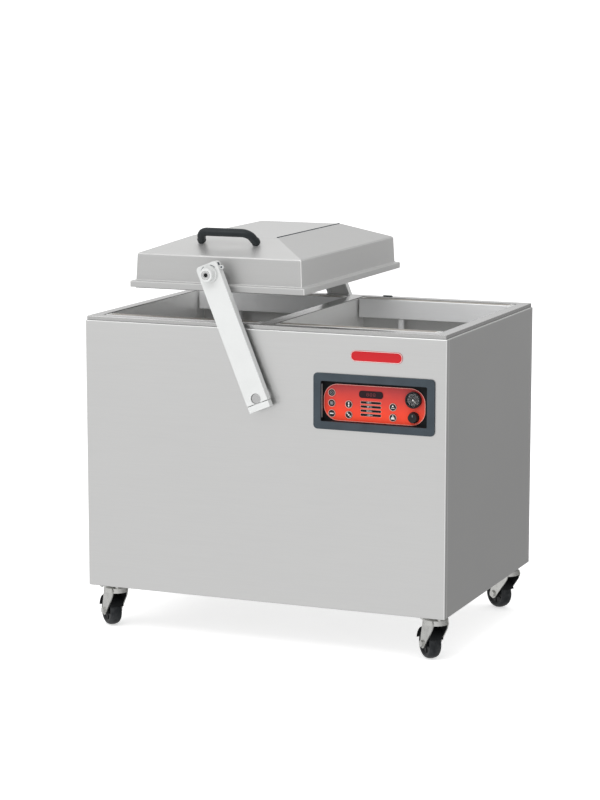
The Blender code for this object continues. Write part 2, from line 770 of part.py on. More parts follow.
def handle_lean():
    """Angle of the handle's plane from upright, leaning to the front."""
    return math.atan2(*HANDLE_REACH)


def handle_path():
    """(points, radius factors) of the handle's centre line in its own plane, a thin stud at each foot."""
    height = math.hypot(*HANDLE_REACH)
    tilt = math.tan(handle_lean() - slope_angle())
    stud_start = HANDLE_STUD * HANDLE_RADIUS * tilt + SEAM * 1.5
    foot_start = HANDLE_RADIUS * tilt + SEAM * 1.5
    bend_x = HANDLE_FOOT - HANDLE_SPLAY - HANDLE_BEND
    side = [(HANDLE_FOOT, stud_start), (HANDLE_FOOT, foot_start - 0.0001), (HANDLE_FOOT, foot_start)]
    side += arc((bend_x, height - HANDLE_BEND), HANDLE_BEND, 0, 90, 5)
    factors = [HANDLE_STUD, HANDLE_STUD] + [1.0] * (len(side) - 2)
    points = side + [(-x, z) for x, z in reversed(side)]
    return [(x, 0, z) for x, z in points], factors + factors[::-1]


def add_lid_handle(axis):
    wall_d = LID_FLANGE_HALF_D - LID_STEP - LID_DRAFT
    angle = slope_angle()
    y = -wall_d + HANDLE_UP_SLOPE * math.cos(angle)
    z = LID_WALL_TOP + HANDLE_UP_SLOPE * math.sin(angle)
    points, factors = handle_path()
    mesh = tube_mesh("lid_handle", points, HANDLE_RADIUS, 2, factors)
    return add_object("lid_handle", mesh, BLACK_PLASTIC, (0, y, z), (handle_lean(), 0, 0), axis)


def add_lid():
    axis = add_empty("lid_level_axis", (PIVOT_X, 0, PIVOT_Z))
    add_lid_shell(axis)
    add_lid_gasket(axis)
    add_lid_handle(axis)
    add_counter_bar("front_counter_bar", axis, -1)
    add_counter_bar("rear_counter_bar", axis, 1)


# ---------------------------------------------------------------- control panel


def front_plate(name, outlines, front, back, centre, material):
    """A plate that faces the operator, between two distances ahead of the cabinet's middle."""
    place = (centre[0], -(front + back) / 2, centre[1])
    return add_plate(name, outlines, front - back, place, FACING_FRONT, material)


def add_control_bezel():
    outlines = [rounded_rectangle(BEZEL_SIZE, 0.010, 4), rounded_rectangle(BEZEL_OPENING, 0.002, 1)]
    back = BODY_D / 2 + SEAM
    centre = (CONTROL_X, CONTROL_Z)
    bezel = front_plate("control_bezel", outlines, back + BEZEL_DEPTH, back, centre, SLATE_PLASTIC)
    return add_bevel(bezel, 0.0009, 2, 60.0)


def add_control_tray():
    front = BODY_D / 2 - SEAM / 3
    back = TRAY_FLOOR_Y - TRAY_WALL
    outer = rounded_rectangle((BEZEL_OPENING[0] + 2 * TRAY_WALL, BEZEL_OPENING[1] + 2 * TRAY_WALL), 0.003, 2)
    tray = front_plate("control_tray", [outer], front, back, (CONTROL_X, CONTROL_Z), BLACK_PLASTIC)
    half_w, half_h = BEZEL_OPENING[0] / 2, BEZEL_OPENING[1] / 2
    low = (CONTROL_X - half_w, -front - 0.01, CONTROL_Z - half_h)
    high = (CONTROL_X + half_w, -TRAY_FLOOR_Y, CONTROL_Z + half_h)
    return cut(tray, add_box("control_tray_pocket", low, high))


def key_places():
    """(name, x, z) of each key."""
    for column, x, heights in KEY_COLUMNS:
        for row, z in enumerate(heights, 1):
            yield f"{column}_key_{row}", x, z


def add_control_overlay():
    size = OVERLAY_SIZE
    outlines = [rounded_rectangle(size, OVERLAY_CORNER, 8)]
    for _, x, z in key_places():
        outlines.append(circle((x - OVERLAY_CENTRE[0], z - OVERLAY_CENTRE[1]), KEY_HOLE, 16))
    return front_plate("control_overlay", outlines, OVERLAY_FRONT, OVERLAY_BACK, OVERLAY_CENTRE, RED_OVERLAY)


def add_keys():
    for name, x, z in key_places():
        front_plate(name, [circle((0, 0), KEY_RADIUS, 20)], KEY_FRONT, KEY_BACK, (x, z), BLACK_PLASTIC)


def add_display_window():
    outline = rounded_rectangle(WINDOW_SIZE, 0.007, 5)
    back = OVERLAY_FRONT + SEAM
    return front_plate("display_window", [outline], back + 0.001, back, WINDOW_CENTRE, SMOKED_LENS)


def add_gauge():
    back = OVERLAY_FRONT + SEAM
    front = back + GAUGE_DEPTH
    dial = back + 0.0045
    profile = [
        (0, dial),
        (GAUGE_RADIUS - 0.0050, dial),
        (GAUGE_RADIUS - 0.0040, front - 0.0008),
        (GAUGE_RADIUS - 0.0028, front),
        (GAUGE_RADIUS - 0.0008, front),
        (GAUGE_RADIUS, front - 0.0012),
        (GAUGE_RADIUS, back),
        (0, back),
    ]
    place = (GAUGE_CENTRE[0], 0, GAUGE_CENTRE[1])
    add_turned("gauge_body", profile, False, 28, place, (math.pi / 2, 0, 0), BLACK_PLASTIC)
    pointer = [(0.0016, -0.0006), (0.0125, -0.0002), (0.0125, 0.0002), (0.0016, 0.0006)]
    needle = circle((0, 0), 0.0018, 10)[1:-1] + pointer
    place = (GAUGE_CENTRE[0], -(dial + 0.0012), GAUGE_CENTRE[1])
    lower_right = (math.pi / 2, math.radians(45), 0)
    return add_plate("gauge_needle", [needle], 0.0006, place, lower_right, WHITE_MARK)


def add_control_knob():
    back = OVERLAY_FRONT + SEAM
    front = back + KNOB_DEPTH
    profile = [
        (0, front - 0.0008),
        (0.0085, front - 0.0004),
        (0.0105, front),
        (0.0115, front - 0.0010),
        (0.0125, back + 0.003),
        (KNOB_RADIUS, back + 0.0024),
        (KNOB_RADIUS, back),
        (0, back),
    ]
    place = (KNOB_CENTRE[0], 0, KNOB_CENTRE[1])
    knob = add_turned("control_knob", profile, False, 24, place, (math.pi / 2, 0, 0), BLACK_PLASTIC)
    groove = add_box(
        "knob_pointer_cutter",
        (KNOB_CENTRE[0] - 0.0007, -front - 0.001, KNOB_CENTRE[1] + 0.004),
        (KNOB_CENTRE[0] + 0.0007, -front + 0.002, KNOB_CENTRE[1] + 0.02),
    )
    return cut(knob, groove)


def add_name_badge():
    outline = rounded_rectangle(BADGE_SIZE, 0.0125, 6)
    back = BODY_D / 2 + SEAM
    return front_plate("name_badge", [outline], back + BADGE_THICK, back, BADGE_CENTRE, RED_OVERLAY)


def add_controls():
    add_control_bezel()
    add_control_tray()
    add_control_overlay()
    add_keys()
    add_display_window()
    add_gauge()
    add_control_knob()
    add_name_badge()


# ---------------------------------------------------------------- machinery inside


def add_pump():
    """A rotary vane pump on the tray: a finned cylinder on a plinth, with an inlet on top."""
    start, end = PUMP_X
    z = MACHINE_FLOOR + PUMP_AXIS
    low, high = (start, -PUMP_HALF_DEPTH, MACHINE_FLOOR), (end, PUMP_HALF_DEPTH, z)
    pump = add_box("vacuum_pump", low, high, CAST_METAL)
    middle = ((start + end) / 2, 0, z)
    fuse(pump, add_cylinder("pump_barrel", PUMP_BARREL, end - start, middle, "X", 16))
    fin_radius, fin_thick = PUMP_FIN
    for index in range(PUMP_FINS):
        fin_x = start + 0.030 + index * PUMP_FIN_PITCH
        fuse(pump, add_cylinder(f"pump_fin_{index}", fin_radius, fin_thick, (fin_x, 0, z), "X", 16))
    radius, height = PUMP_INLET
    inlet_z = MACHINE_FLOOR + PUMP_INLET_TOP - height / 2
    return fuse(pump, add_cylinder("pump_inlet", radius, height, (PUMP_INLET_X, 0, inlet_z), "Z", 12))


def add_motor():
    z = MACHINE_FLOOR + PUMP_AXIS
    start, end = MOTOR_X
    middle = ((start + end) / 2, 0, z)
    motor = add_cylinder("pump_motor", MOTOR_RADIUS, end - start, middle, "X", 20, PUMP_PAINT)
    foot_low, foot_high = (start + 0.040, -0.070, MACHINE_FLOOR), (end - 0.040, 0.070, z - 0.050)
    foot = add_box("motor_foot", foot_low, foot_high)
    terminal = add_box("motor_terminal_box", (0.010, -0.040, z + 0.060), (0.090, 0.040, z + 0.108))
    radius, length = COWL
    cowl = add_cylinder("motor_cowl", radius, length, (end - 0.020, 0, z), "X", 20)
    return fuse(motor, foot, terminal, cowl)


def add_exhaust_filter():
    profile = [
        (0, 0.300),
        (0.030, 0.294),
        (0.052, 0.276),
        (0.056, 0.260),
        (0.056, 0.020),
        (0.066, 0.016),
        (0.066, 0),
        (0, 0),
    ]
    place = (FILTER_X, 0, MACHINE_FLOOR)
    return add_turned("exhaust_filter", profile, False, 20, place, (0, 0, 0), PUMP_PAINT)


def add_manifold():
    """The pipe that joins the pump's inlet to a port in each chamber's floor."""
    tub_bottom = DECK_TOP - TUB_DEPTH - TUB_SHEET
    pipe_z = tub_bottom - MANIFOLD_DROP
    length = PORT_X - PUMP_INLET_X + 0.02
    middle = ((PUMP_INLET_X + PORT_X) / 2, 0, pipe_z)
    run = add_cylinder("vacuum_manifold", MANIFOLD_RADIUS, length, middle, "X", 12, ZINC)
    riser = tub_bottom - SEAM - pipe_z
    for name, x in (("left_riser", -PORT_X), ("right_riser", PORT_X)):
        fuse(run, add_cylinder(name, RISER_RADIUS, riser, (x, 0, pipe_z + riser / 2), "Z", 12))
    drop = pipe_z - (MACHINE_FLOOR + PUMP_INLET_TOP) - SEAM
    drop_centre = (PUMP_INLET_X, 0, pipe_z - drop / 2)
    return fuse(run, add_cylinder("pump_drop", RISER_RADIUS, drop, drop_centre, "Z", 12))


def add_transformer():
    core_low, core_high = (*CORE_LOW, MACHINE_FLOOR), (*CORE_HIGH, MACHINE_FLOOR + CORE_HEIGHT)
    core = add_box("seal_transformer", core_low, core_high, CAST_METAL)
    bottom, top = (MACHINE_FLOOR + height for height in COIL_HEIGHTS)
    coil = add_box("transformer_coil", (*COIL_LOW, bottom), (*COIL_HIGH, top))
    return fuse(core, add_bevel(coil, 0.012, 2))


def add_control_board():
    front = TRAY_FLOOR_Y - TRAY_WALL - 0.001
    low = (BOARD_LOW[0], -front, BOARD_LOW[1])
    high = (BOARD_HIGH[0], -front + BOARD_THICK, BOARD_HIGH[1])
    board = add_box("control_board", low, high, BOARD_GREEN)
    width, depth, height = RELAY_SIZE
    relay_y = -front + BOARD_THICK - 0.0006
    for index, (x, z) in enumerate(RELAY_PLACES):
        fuse(board, add_box(f"relay_{index}", (x, relay_y, z), (x + width, relay_y + depth, z + height)))
    return board


def inlet_block(name, size, front, back, material=None):
    """A box about the power inlet's middle, between two distances behind the cabinet's middle."""
    half_w, half_h = size[0] / 2, size[1] / 2
    x, z = INLET_CENTRE
    return add_box(name, (x - half_w, front, z - half_h), (x + half_w, back, z + half_h), material)


def add_power_inlet():
    outside = BODY_D / 2
    inlet = inlet_block("power_inlet", INLET_BODY, outside - 0.035, outside + 0.002, BLACK_PLASTIC)
    flange = inlet_block("inlet_flange", INLET_FLANGE, outside + SEAM, outside + 0.004)
    socket = inlet_block("inlet_socket", INLET_SOCKET, outside - 0.020, outside + 0.020)
    return cut(fuse(inlet, flange), socket)


def add_machinery():
    add_pump()
    add_motor()
    add_exhaust_filter()
    add_manifold()
    add_transformer()
    add_control_board()
    add_power_inlet()


# ---------------------------------------------------------------- casters


def add_caster_plate(name, x, y):
    bottom = PLATE_TOP - PLATE_THICK
    holes = [circle((dx, dy), 0.0042, 8) for dx in (-BOLT_X, BOLT_X) for dy in (-BOLT_Y, BOLT_Y)]
    outlines = [rounded_rectangle(PLATE_SIZE, 0.006, 2)] + holes
    plate = add_plate(name, outlines, PLATE_THICK, (x, y, PLATE_TOP - PLATE_THICK / 2), (0, 0, 0), ZINC)
    race_height = bottom - FORK_TOP - 0.0004
    overlap = 0.001
    race_centre = (x, y, bottom - race_height / 2 + overlap / 2)
    race = add_cylinder(name + "_race", RACE_RADIUS, race_height + overlap, race_centre, "Z", 16)
    return fuse(plate, race)


def fork_leg_outline():
    """Side view of one leg, x along the trail and z up, from the swivel head to the axle."""
    points = arc((TRAIL, WHEEL_RADIUS), 0.012, 215, 380, 5)
    points += [(0.030, FORK_TOP - 0.010), (0.026, FORK_TOP - 0.002), (-0.024, FORK_TOP - 0.002)]
    points += [(-0.028, FORK_TOP - 0.010), (-0.022, FORK_TOP - 0.024)]
    return points


def fork_web_outline():
    """Side view of the sheet that joins the legs behind the wheel's top."""
    top, low = FORK_TOP - 0.004, 2 * WHEEL_RADIUS + 0.004
    return [(0.023, top), (0.027, top), (0.0345, low), (0.0310, low)]


def add_caster_fork(name, frame):
    """A pressed cup with two sheet legs and a back web, and the wheel's axle across the legs."""
    head_profile = [
        (0, FORK_TOP),
        (0.026, FORK_TOP),
        (0.030, FORK_TOP - 0.003),
        (0.031, FORK_TOP - 0.015),
        (0.028, FORK_TOP - 0.015),
        (0.027, FORK_TOP - 0.004),
        (0, FORK_TOP - 0.004),
    ]
    fork = add_turned(name, head_profile, False, 20, (0, 0, 0), (0, 0, 0), ZINC, frame)
    for side in (-1, 1):
        y = side * (FORK_INNER_HALF + FORK_SHEET / 2)
        leg = add_plate(
            f"{name}_leg{side}", [fork_leg_outline()], FORK_SHEET, (0, y, 0), FACING_FRONT, parent=frame
        )
        fuse(fork, leg)
    web_width = 2 * FORK_INNER_HALF + FORK_SHEET
    web = add_plate(name + "_web", [fork_web_outline()], web_width, (0, 0, 0), FACING_FRONT, parent=frame)
    fuse(fork, web)
    axle_half = FORK_INNER_HALF + FORK_SHEET + 0.003
    axle_centre = (TRAIL, 0, WHEEL_RADIUS)
    axle = add_cylinder(name + "_axle", AXLE_RADIUS, 2 * axle_half, axle_centre, "Y", 12, parent=frame)
    fuse(fork, axle)
    for side in (-1, 1):
        y = side * (FORK_INNER_HALF + FORK_SHEET + 0.002)
        nut = add_cylinder(f"{name}_nut{side}", 0.009, 0.005, (TRAIL, y, WHEEL_RADIUS), "Y", 6, parent=frame)
        fuse(fork, nut)
    return fork


def wheel_profile():
    """A crowned tyre on a dished hub, from the outer rim round to the bore."""
    half, bore = WHEEL_HALF_WIDTH, AXLE_RADIUS + 0.0004
    return [
        (bore, half + 0.001),
        (0.012, half + 0.001),
        (0.0125, half - 0.004),
        (0.024, half - 0.004),
        (0.027, half - 0.001),
        (0.0335, half - 0.002),
        (0.0370, half - 0.008),
        (WHEEL_RADIUS, 0),
        (0.0370, -half + 0.008),
        (0.0335, -half + 0.002),
        (0.027, -half + 0.001),
        (0.024, -half + 0.004),
        (0.0125, -half + 0.004),
        (0.012, -half - 0.001),
        (bore, -half - 0.001),
    ]


def add_casters():
    corners = (
        ("front_left", -1, -1),
        ("front_right", 1, -1),
        ("rear_left", -1, 1),
        ("rear_right", 1, 1),
    )
    for name, side_x, side_y in corners:
        x, y = side_x * CASTER_X, side_y * CASTER_Y["front" if side_y < 0 else "rear"]
        add_caster_plate(name + "_caster_plate", x, y)
        swivel = add_empty(name + "_swivel_axis", (x, y, 0), (0, 0, math.radians(TRAIL_ANGLES[name])))
        add_caster_fork(name + "_caster_fork", swivel)
        add_turned(
            name + "_caster_wheel",
            wheel_profile(),
            True,
            20,
            (TRAIL, 0, WHEEL_RADIUS),
            (math.pi / 2, 0, 0),
            WHEEL_RUBBER,
            swivel,
        )


def main():
    add_front_panel()
    add_back_panel()
    add_side_panels()
    add_base_tray()
    add_top_deck()
    for name, side in (("left", -1), ("right", 1)):
        add_chamber_tub(name + "_chamber_tub", side)
        add_seal_bar(name + "_front_seal_bar", side, -1)
        add_seal_bar(name + "_rear_seal_bar", side, 1)
    add_shaft_bearing("front_shaft_bearing", -1)
    add_shaft_bearing("rear_shaft_bearing", 1)
    add_arms()
    add_lid()
    add_controls()
    add_machinery()
    add_casters()


main()
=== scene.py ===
"""Looks for a double-chamber vacuum packing machine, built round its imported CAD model.

Metres, +Z up, the operator stands at -Y. Every new mesh holds its place in its vertices, as the CAD
nodes do, so that object coordinates are the machine's own coordinates in every material.
"""

import json
import math

import bmesh
import bpy
from mathutils import Matrix, Vector


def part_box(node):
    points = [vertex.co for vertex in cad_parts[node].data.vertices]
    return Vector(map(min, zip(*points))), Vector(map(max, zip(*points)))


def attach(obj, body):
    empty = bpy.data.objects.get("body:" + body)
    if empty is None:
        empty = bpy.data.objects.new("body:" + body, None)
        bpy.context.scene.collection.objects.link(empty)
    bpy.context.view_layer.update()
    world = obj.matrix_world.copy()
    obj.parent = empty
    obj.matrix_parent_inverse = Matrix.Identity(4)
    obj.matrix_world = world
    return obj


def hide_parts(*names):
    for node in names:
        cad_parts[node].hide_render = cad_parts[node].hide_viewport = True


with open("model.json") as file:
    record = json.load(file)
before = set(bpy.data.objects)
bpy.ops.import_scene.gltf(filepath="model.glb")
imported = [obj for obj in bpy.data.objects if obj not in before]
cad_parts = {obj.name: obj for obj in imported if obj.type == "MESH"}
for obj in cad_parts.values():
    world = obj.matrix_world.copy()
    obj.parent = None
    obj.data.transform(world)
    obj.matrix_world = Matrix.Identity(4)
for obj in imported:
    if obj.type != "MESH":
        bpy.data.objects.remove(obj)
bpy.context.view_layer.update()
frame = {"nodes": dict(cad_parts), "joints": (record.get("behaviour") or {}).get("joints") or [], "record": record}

# Camera and floor
CAMERA_AZIMUTH = 22.597
CAMERA_ELEVATION = 9.321
CAMERA_DISTANCE = 6.3731
CAMERA_AIM = (-0.0386, 0.0039, 0.5688)
CAMERA_LENS = 112.276
FLOOR_RADIUS = 3000.0
FLOOR_GAP = 0.0006
FLOOR_GLOW = 0.56

# Brushed grain: features per metre along and across the brushing
GRAIN_ALONG = 9.0
GRAIN_ACROSS = 420.0
SPECKLE = 1500.0
CLOUDS = 2.2
GRAIN_RELIEF = 0.000012
GRAIN_CONTRAST = 0.022

# How strongly plastics, rubber and film, and the smoked window, mirror the studio
MATT_SPECULAR = 0.3
LENS_SPECULAR = 0.2

# Mesh work: angles that stay smooth and that are softened, the tilt that still counts as flat, a
# quarter turn, how near corners are joined, and how far a laid-on layer stands proud
SMOOTH_ANGLE = math.radians(35)
EDGE_ANGLE = math.radians(40)
FLAT = math.radians(0.5)
QUARTER = math.pi / 2
WELD = 0.00001
PROUD = 0.0002


# ---- node helpers


def new_material(name, colour, roughness, metallic=0.0, specular=0.5):
    """A Principled material: (material, node tree, object coordinates)."""
    material = bpy.data.materials.new(name)
    material.use_nodes = True
    tree = material.node_tree
    set_shader(tree, "Base Color", (*colour, 1.0))
    set_shader(tree, "Roughness", roughness)
    set_shader(tree, "Metallic", metallic)
    set_shader(tree, "Specular IOR Level", specular)
    return material, tree, coordinate(tree)


def set_input(tree, node, key, value):
    """Sets a node's input to a value, or links another node's output to it."""
    if isinstance(value, bpy.types.NodeSocket):
        tree.links.new(value, node.inputs[key])
    else:
        node.inputs[key].default_value = value


def set_shader(tree, key, value):
    set_input(tree, tree.nodes["Principled BSDF"], key, value)


def add_node(tree, kind, inputs, **settings):
    """A node with its settings and its inputs."""
    node = tree.nodes.new(kind)
    for key, value in settings.items():
        setattr(node, key, value)
    for key, value in inputs.items():
        set_input(tree, node, key, value)
    return node


def coordinate(tree, kind="Object"):
    return add_node(tree, "ShaderNodeTexCoord", {}).outputs[kind]


def stretched(tree, vector, scale):
    return add_node(tree, "ShaderNodeMapping", {"Vector": vector, "Scale": scale}).outputs[0]


def noise(tree, vector, scale, detail=2.0, roughness=0.5):
    inputs = {"Vector": vector, "Scale": scale, "Detail": detail, "Roughness": roughness}
    return add_node(tree, "ShaderNodeTexNoise", inputs).outputs[0]


def math_node(tree, operation, first, second=0.0, third=0.0):
    inputs = {0: first, 1: second, 2: third}
    return add_node(tree, "ShaderNodeMath", inputs, operation=operation).outputs[0]


def remap(tree, value, low, high, start=0.0, end=1.0):
    """The value's range low to high, stretched to run from start to end and held there outside it."""
    inputs = {"Value": value, "From Min": low, "From Max": high, "To Min": start, "To Max": end}
    return add_node(tree, "ShaderNodeMapRange", inputs).outputs[0]


def blend(tree, factor, first, second, kind="MIX"):
    """First colour where the factor is 0, second where it is 1."""
    colours = [(*c, 1.0) if isinstance(c, tuple) else c for c in (first, second)]
    inputs = {0: factor, 6: colours[0], 7: colours[1]}
    return add_node(tree, "ShaderNodeMix", inputs, data_type="RGBA", blend_type=kind).outputs[2]


def shade(colour, factor):
    return tuple(channel * factor for channel in colour)


def link_patches(tree, field, low, high, first, second):
    """Base colour: the first colour up to the field's value low, and the second from its value high."""
    tint = blend(tree, remap(tree, field, low, high), first, second)
    set_shader(tree, "Base Color", tint)


def link_roughness(tree, field, start, end, low=0.3, high=0.7):
    """Roughness that runs from start to end as the field runs from low to high."""
    set_shader(tree, "Roughness", remap(tree, field, low, high, start, end))


def link_bump(tree, height, strength, distance):
    inputs = {"Height": height, "Strength": strength, "Distance": distance}
    set_shader(tree, "Normal", add_node(tree, "ShaderNodeBump", inputs).outputs[0])


def axes_of(tree, vector):
    return add_node(tree, "ShaderNodeSeparateXYZ", {0: vector}).outputs


# ---- materials


def brushed_metal(name, colour, roughness, metallic=1.0, front=1.0, flank_light=1.0, slope_shade=1.0, fold_highlight=1.0):
    """Sheet brushed along X on faces that look up or to the front, and along Y on the side faces.

    Front, flank, slope and fold are painted light and shade on the colour: factors for the faces that look
    to the front or back, to either side, and up and to the right, and a painted highlight on the vertical folds
    where front and side meet.
    """
    material, tree, place = new_material(name, colour, roughness, metallic)
    run_x = stretched(tree, place, (GRAIN_ALONG, GRAIN_ACROSS, GRAIN_ACROSS))
    run_y = stretched(tree, place, (GRAIN_ACROSS, GRAIN_ALONG, GRAIN_ACROSS))
    facing = axes_of(tree, coordinate(tree, "Normal"))
    sideways = math_node(tree, "GREATER_THAN", math_node(tree, "ABSOLUTE", facing[0]), 0.6)
    runs = {0: sideways, 4: run_x, 5: run_y}
    run = add_node(tree, "ShaderNodeMix", runs, data_type="VECTOR").outputs[1]
    streaks = noise(tree, run, 1.0, 3.0, 0.65)
    speckle = noise(tree, place, SPECKLE, 1.0)
    clouds = noise(tree, place, CLOUDS, 3.0, 0.6)
    grain = math_node(tree, "MULTIPLY_ADD", speckle, 0.35, streaks)
    light = remap(tree, grain, 0.35, 1.0)
    dull, keen = shade(colour, 1 - GRAIN_CONTRAST), shade(colour, 1 + GRAIN_CONTRAST)
    tint = blend(tree, light, dull, keen)
    smudged = remap(tree, clouds, 0.3, 0.7, 0.97, 1.0)
    handled = blend(tree, smudged, shade(colour, 0.8), tint)
    # Painted light and shade by facing: the colour is scaled up or down on the front and back faces, the side
    # faces and the faces leaning to the right, and raised on the vertical folds as a painted highlight
    standing = math_node(tree, "LESS_THAN", math_node(tree, "ABSOLUTE", facing[2]), 0.5)
    leaning = remap(tree, facing[0], 0.15, 0.3)
    corner = math_node(tree, "MULTIPLY", facing[0], facing[1])
    fold_highlight_mask = remap(tree, math_node(tree, "ABSOLUTE", corner), 0.15, 0.35)
    facing_light = blend(tree, sideways, (front,) * 3, (flank_light,) * 3)
    folded = blend(tree, fold_highlight_mask, facing_light, (fold_highlight,) * 3)
    level = blend(tree, leaning, (1.0,) * 3, (slope_shade,) * 3)
    bright = blend(tree, standing, level, folded)
    set_shader(tree, "Base Color", blend(tree, 1.0, handled, bright, "MULTIPLY"))
    rough = math_node(tree, "ADD", remap(tree, streaks, 0.3, 0.7, -0.03, 0.03), roughness)
    wiped = math_node(tree, "ADD", rough, remap(tree, clouds, 0.35, 0.7, -0.02, 0.03))
    set_shader(tree, "Roughness", wiped)
    link_bump(tree, grain, 0.3, GRAIN_RELIEF)
    return material


def plated_metal(name, colour, roughness):
    """Bright zinc: soft spangle, dulled in patches."""
    material, tree, place = new_material(name, colour, roughness, 1.0)
    spangle = noise(tree, place, 220.0)
    patches = noise(tree, place, 45.0, 3.0)
    link_patches(tree, patches, 0.35, 0.65, shade(colour, 0.86), colour)
    link_roughness(tree, spangle, roughness - 0.06, roughness + 0.1)
    link_bump(tree, spangle, 0.15, 0.00008)
    return material


def turned_metal(name, colour, roughness):
    """Lathe-turned steel with fine tool marks."""
    material, tree, place = new_material(name, colour, roughness, 1.0)
    marks = noise(tree, stretched(tree, place, (300, 2600, 300)), 1.0, 1.0)
    link_roughness(tree, marks, roughness - 0.05, roughness + 0.08)
    link_patches(tree, marks, 0.0, 1.0, shade(colour, 0.9), colour)
    link_bump(tree, marks, 0.1, 0.00003)
    return material


def coated_metal(name, colour, roughness, peel=0.0001):
    """Powder coat: slight orange peel, rubbed a little smoother in patches."""
    material, tree, place = new_material(name, colour, roughness)
    dimples = noise(tree, place, 380.0, 2.0, 0.45)
    patches = noise(tree, place, 14.0, 3.0)
    link_patches(tree, patches, 0.3, 0.7, shade(colour, 0.955), colour)
    link_roughness(tree, patches, roughness - 0.05, roughness + 0.07)
    link_bump(tree, dimples, 0.22, peel)
    return material


def moulded_plastic(name, colour, roughness, texture=900.0, relief=0.00006):
    """Fine spark-eroded mould texture with a few rubbed, glossier patches."""
    material, tree, place = new_material(name, colour, roughness, specular=MATT_SPECULAR)
    pits = noise(tree, place, texture, 3.0, 0.6)
    rubbed = noise(tree, place, 24.0, 3.0)
    link_patches(tree, rubbed, 0.3, 0.7, shade(colour, 0.88), shade(colour, 1.12))
    link_roughness(tree, rubbed, roughness + 0.06, roughness - 0.08, 0.35, 0.7)
    link_bump(tree, pits, 0.3, relief)
    return material


def soft_rubber(name, colour, roughness):
    """Rubber with fine pores and a dusty bloom."""
    material, tree, place = new_material(name, colour, roughness, specular=MATT_SPECULAR)
    pores = noise(tree, place, 700.0)
    dust = noise(tree, place, 60.0, 4.0, 0.65)
    bloom = tuple(channel + 0.03 for channel in colour)
    link_patches(tree, dust, 0.45, 0.8, colour, bloom)
    link_roughness(tree, dust, roughness - 0.04, roughness + 0.12, 0.4, 0.7)
    link_bump(tree, pores, 0.2, 0.00006)
    return material


def printed_film(name, low_colour, high_colour, low_z, high_z):
    """Back-printed polyester under a fine satin surface. Its colour changes with height: on the overlay, the
    darker top is painted shade.
    """
    material, tree, place = new_material(name, low_colour, 0.34, specular=MATT_SPECULAR)
    height = remap(tree, axes_of(tree, place)[2], low_z, high_z)
    drift = remap(tree, noise(tree, place, 26.0), 0.3, 0.7, -0.08, 0.08)
    factor = math_node(tree, "ADD", height, drift)
    set_shader(tree, "Base Color", blend(tree, factor, low_colour, high_colour))
    satin = noise(tree, place, 1600.0)
    link_roughness(tree, satin, 0.28, 0.42)
    link_bump(tree, satin, 0.12, 0.00003)
    return material


def cast_metal(name, colour, roughness):
    """Sand-cast surface, darker in its hollows."""
    material, tree, place = new_material(name, colour, roughness, 0.7)
    sand = noise(tree, place, 520.0, 4.0, 0.7)
    link_patches(tree, sand, 0.3, 0.65, shade(colour, 0.55), colour)
    link_roughness(tree, sand, roughness - 0.1, roughness + 0.1)
    link_bump(tree, sand, 0.5, 0.0004)
    return material


def woven_tape(name, colour):
    """Glass cloth filled with brown PTFE: a plain weave under a waxy surface."""
    material, tree, place = new_material(name, colour, 0.42)
    thread = {"Vector": place, "Scale": 420.0, "Distortion": 0.3}
    weave = math_node(tree, "MULTIPLY", *(
        add_node(tree, "ShaderNodeTexWave", thread, bands_direction=axis).outputs[1] for axis in "XY"
    ))
    scorch = noise(tree, stretched(tree, place, (18.0, 160.0, 160.0)), 1.0, 3.0)
    tint = blend(tree, weave, shade(colour, 0.7), colour)
    burnt = blend(tree, remap(tree, scorch, 0.5, 0.75, 0, 0.6), tint, shade(colour, 0.3))
    set_shader(tree, "Base Color", burnt)
    link_roughness(tree, weave, 0.5, 0.34, 0, 1)
    link_bump(tree, weave, 0.4, 0.0001)
    return material


def clear_lens(name, colour, roughness):
    """A glossy tinted window with faint wipe marks."""
    material, tree, place = new_material(name, colour, roughness, specular=LENS_SPECULAR)
    wipes = noise(tree, stretched(tree, place, (40.0, 40.0, 300.0)), 1.0, 3.0)
    link_patches(tree, wipes, 0.0, 1.0, shade(colour, 0.85), shade(colour, 1.15))
    link_roughness(tree, wipes, roughness, roughness + 0.08)
    return material


def gauge_glass(name):
    material, tree, place = new_material(name, (1.0, 1.0, 1.0), 0.03)
    set_shader(tree, "Transmission Weight", 1.0)
    set_shader(tree, "IOR", 1.2)
    dust = noise(tree, place, 900.0)
    link_roughness(tree, dust, 0.02, 0.08, 0.4, 0.7)
    return material


def printed_ink(name, colour, roughness=0.45):
    """Screen ink with slightly uneven cover."""
    material, tree, place = new_material(name, colour, roughness)
    cover = noise(tree, place, 1100.0, 3.0)
    link_patches(tree, cover, 0.3, 0.7, shade(colour, 0.86), colour)
    link_roughness(tree, cover, roughness - 0.08, roughness + 0.08)
    return material


def studio_floor(name):
    """White sweep: pale, with a little light of its own, so that shadows stay soft and faint."""
    material, tree, place = new_material(name, (0.82, 0.82, 0.82), 0.8, specular=0.0)
    mottle = noise(tree, place, 3.0)
    link_patches(tree, mottle, 0.0, 1.0, (0.81, 0.81, 0.81), (0.83, 0.83, 0.83))
    set_shader(tree, "Emission Color", (1.0, 1.0, 1.0, 1.0))
    set_shader(tree, "Emission Strength", FLOOR_GLOW)
    return material
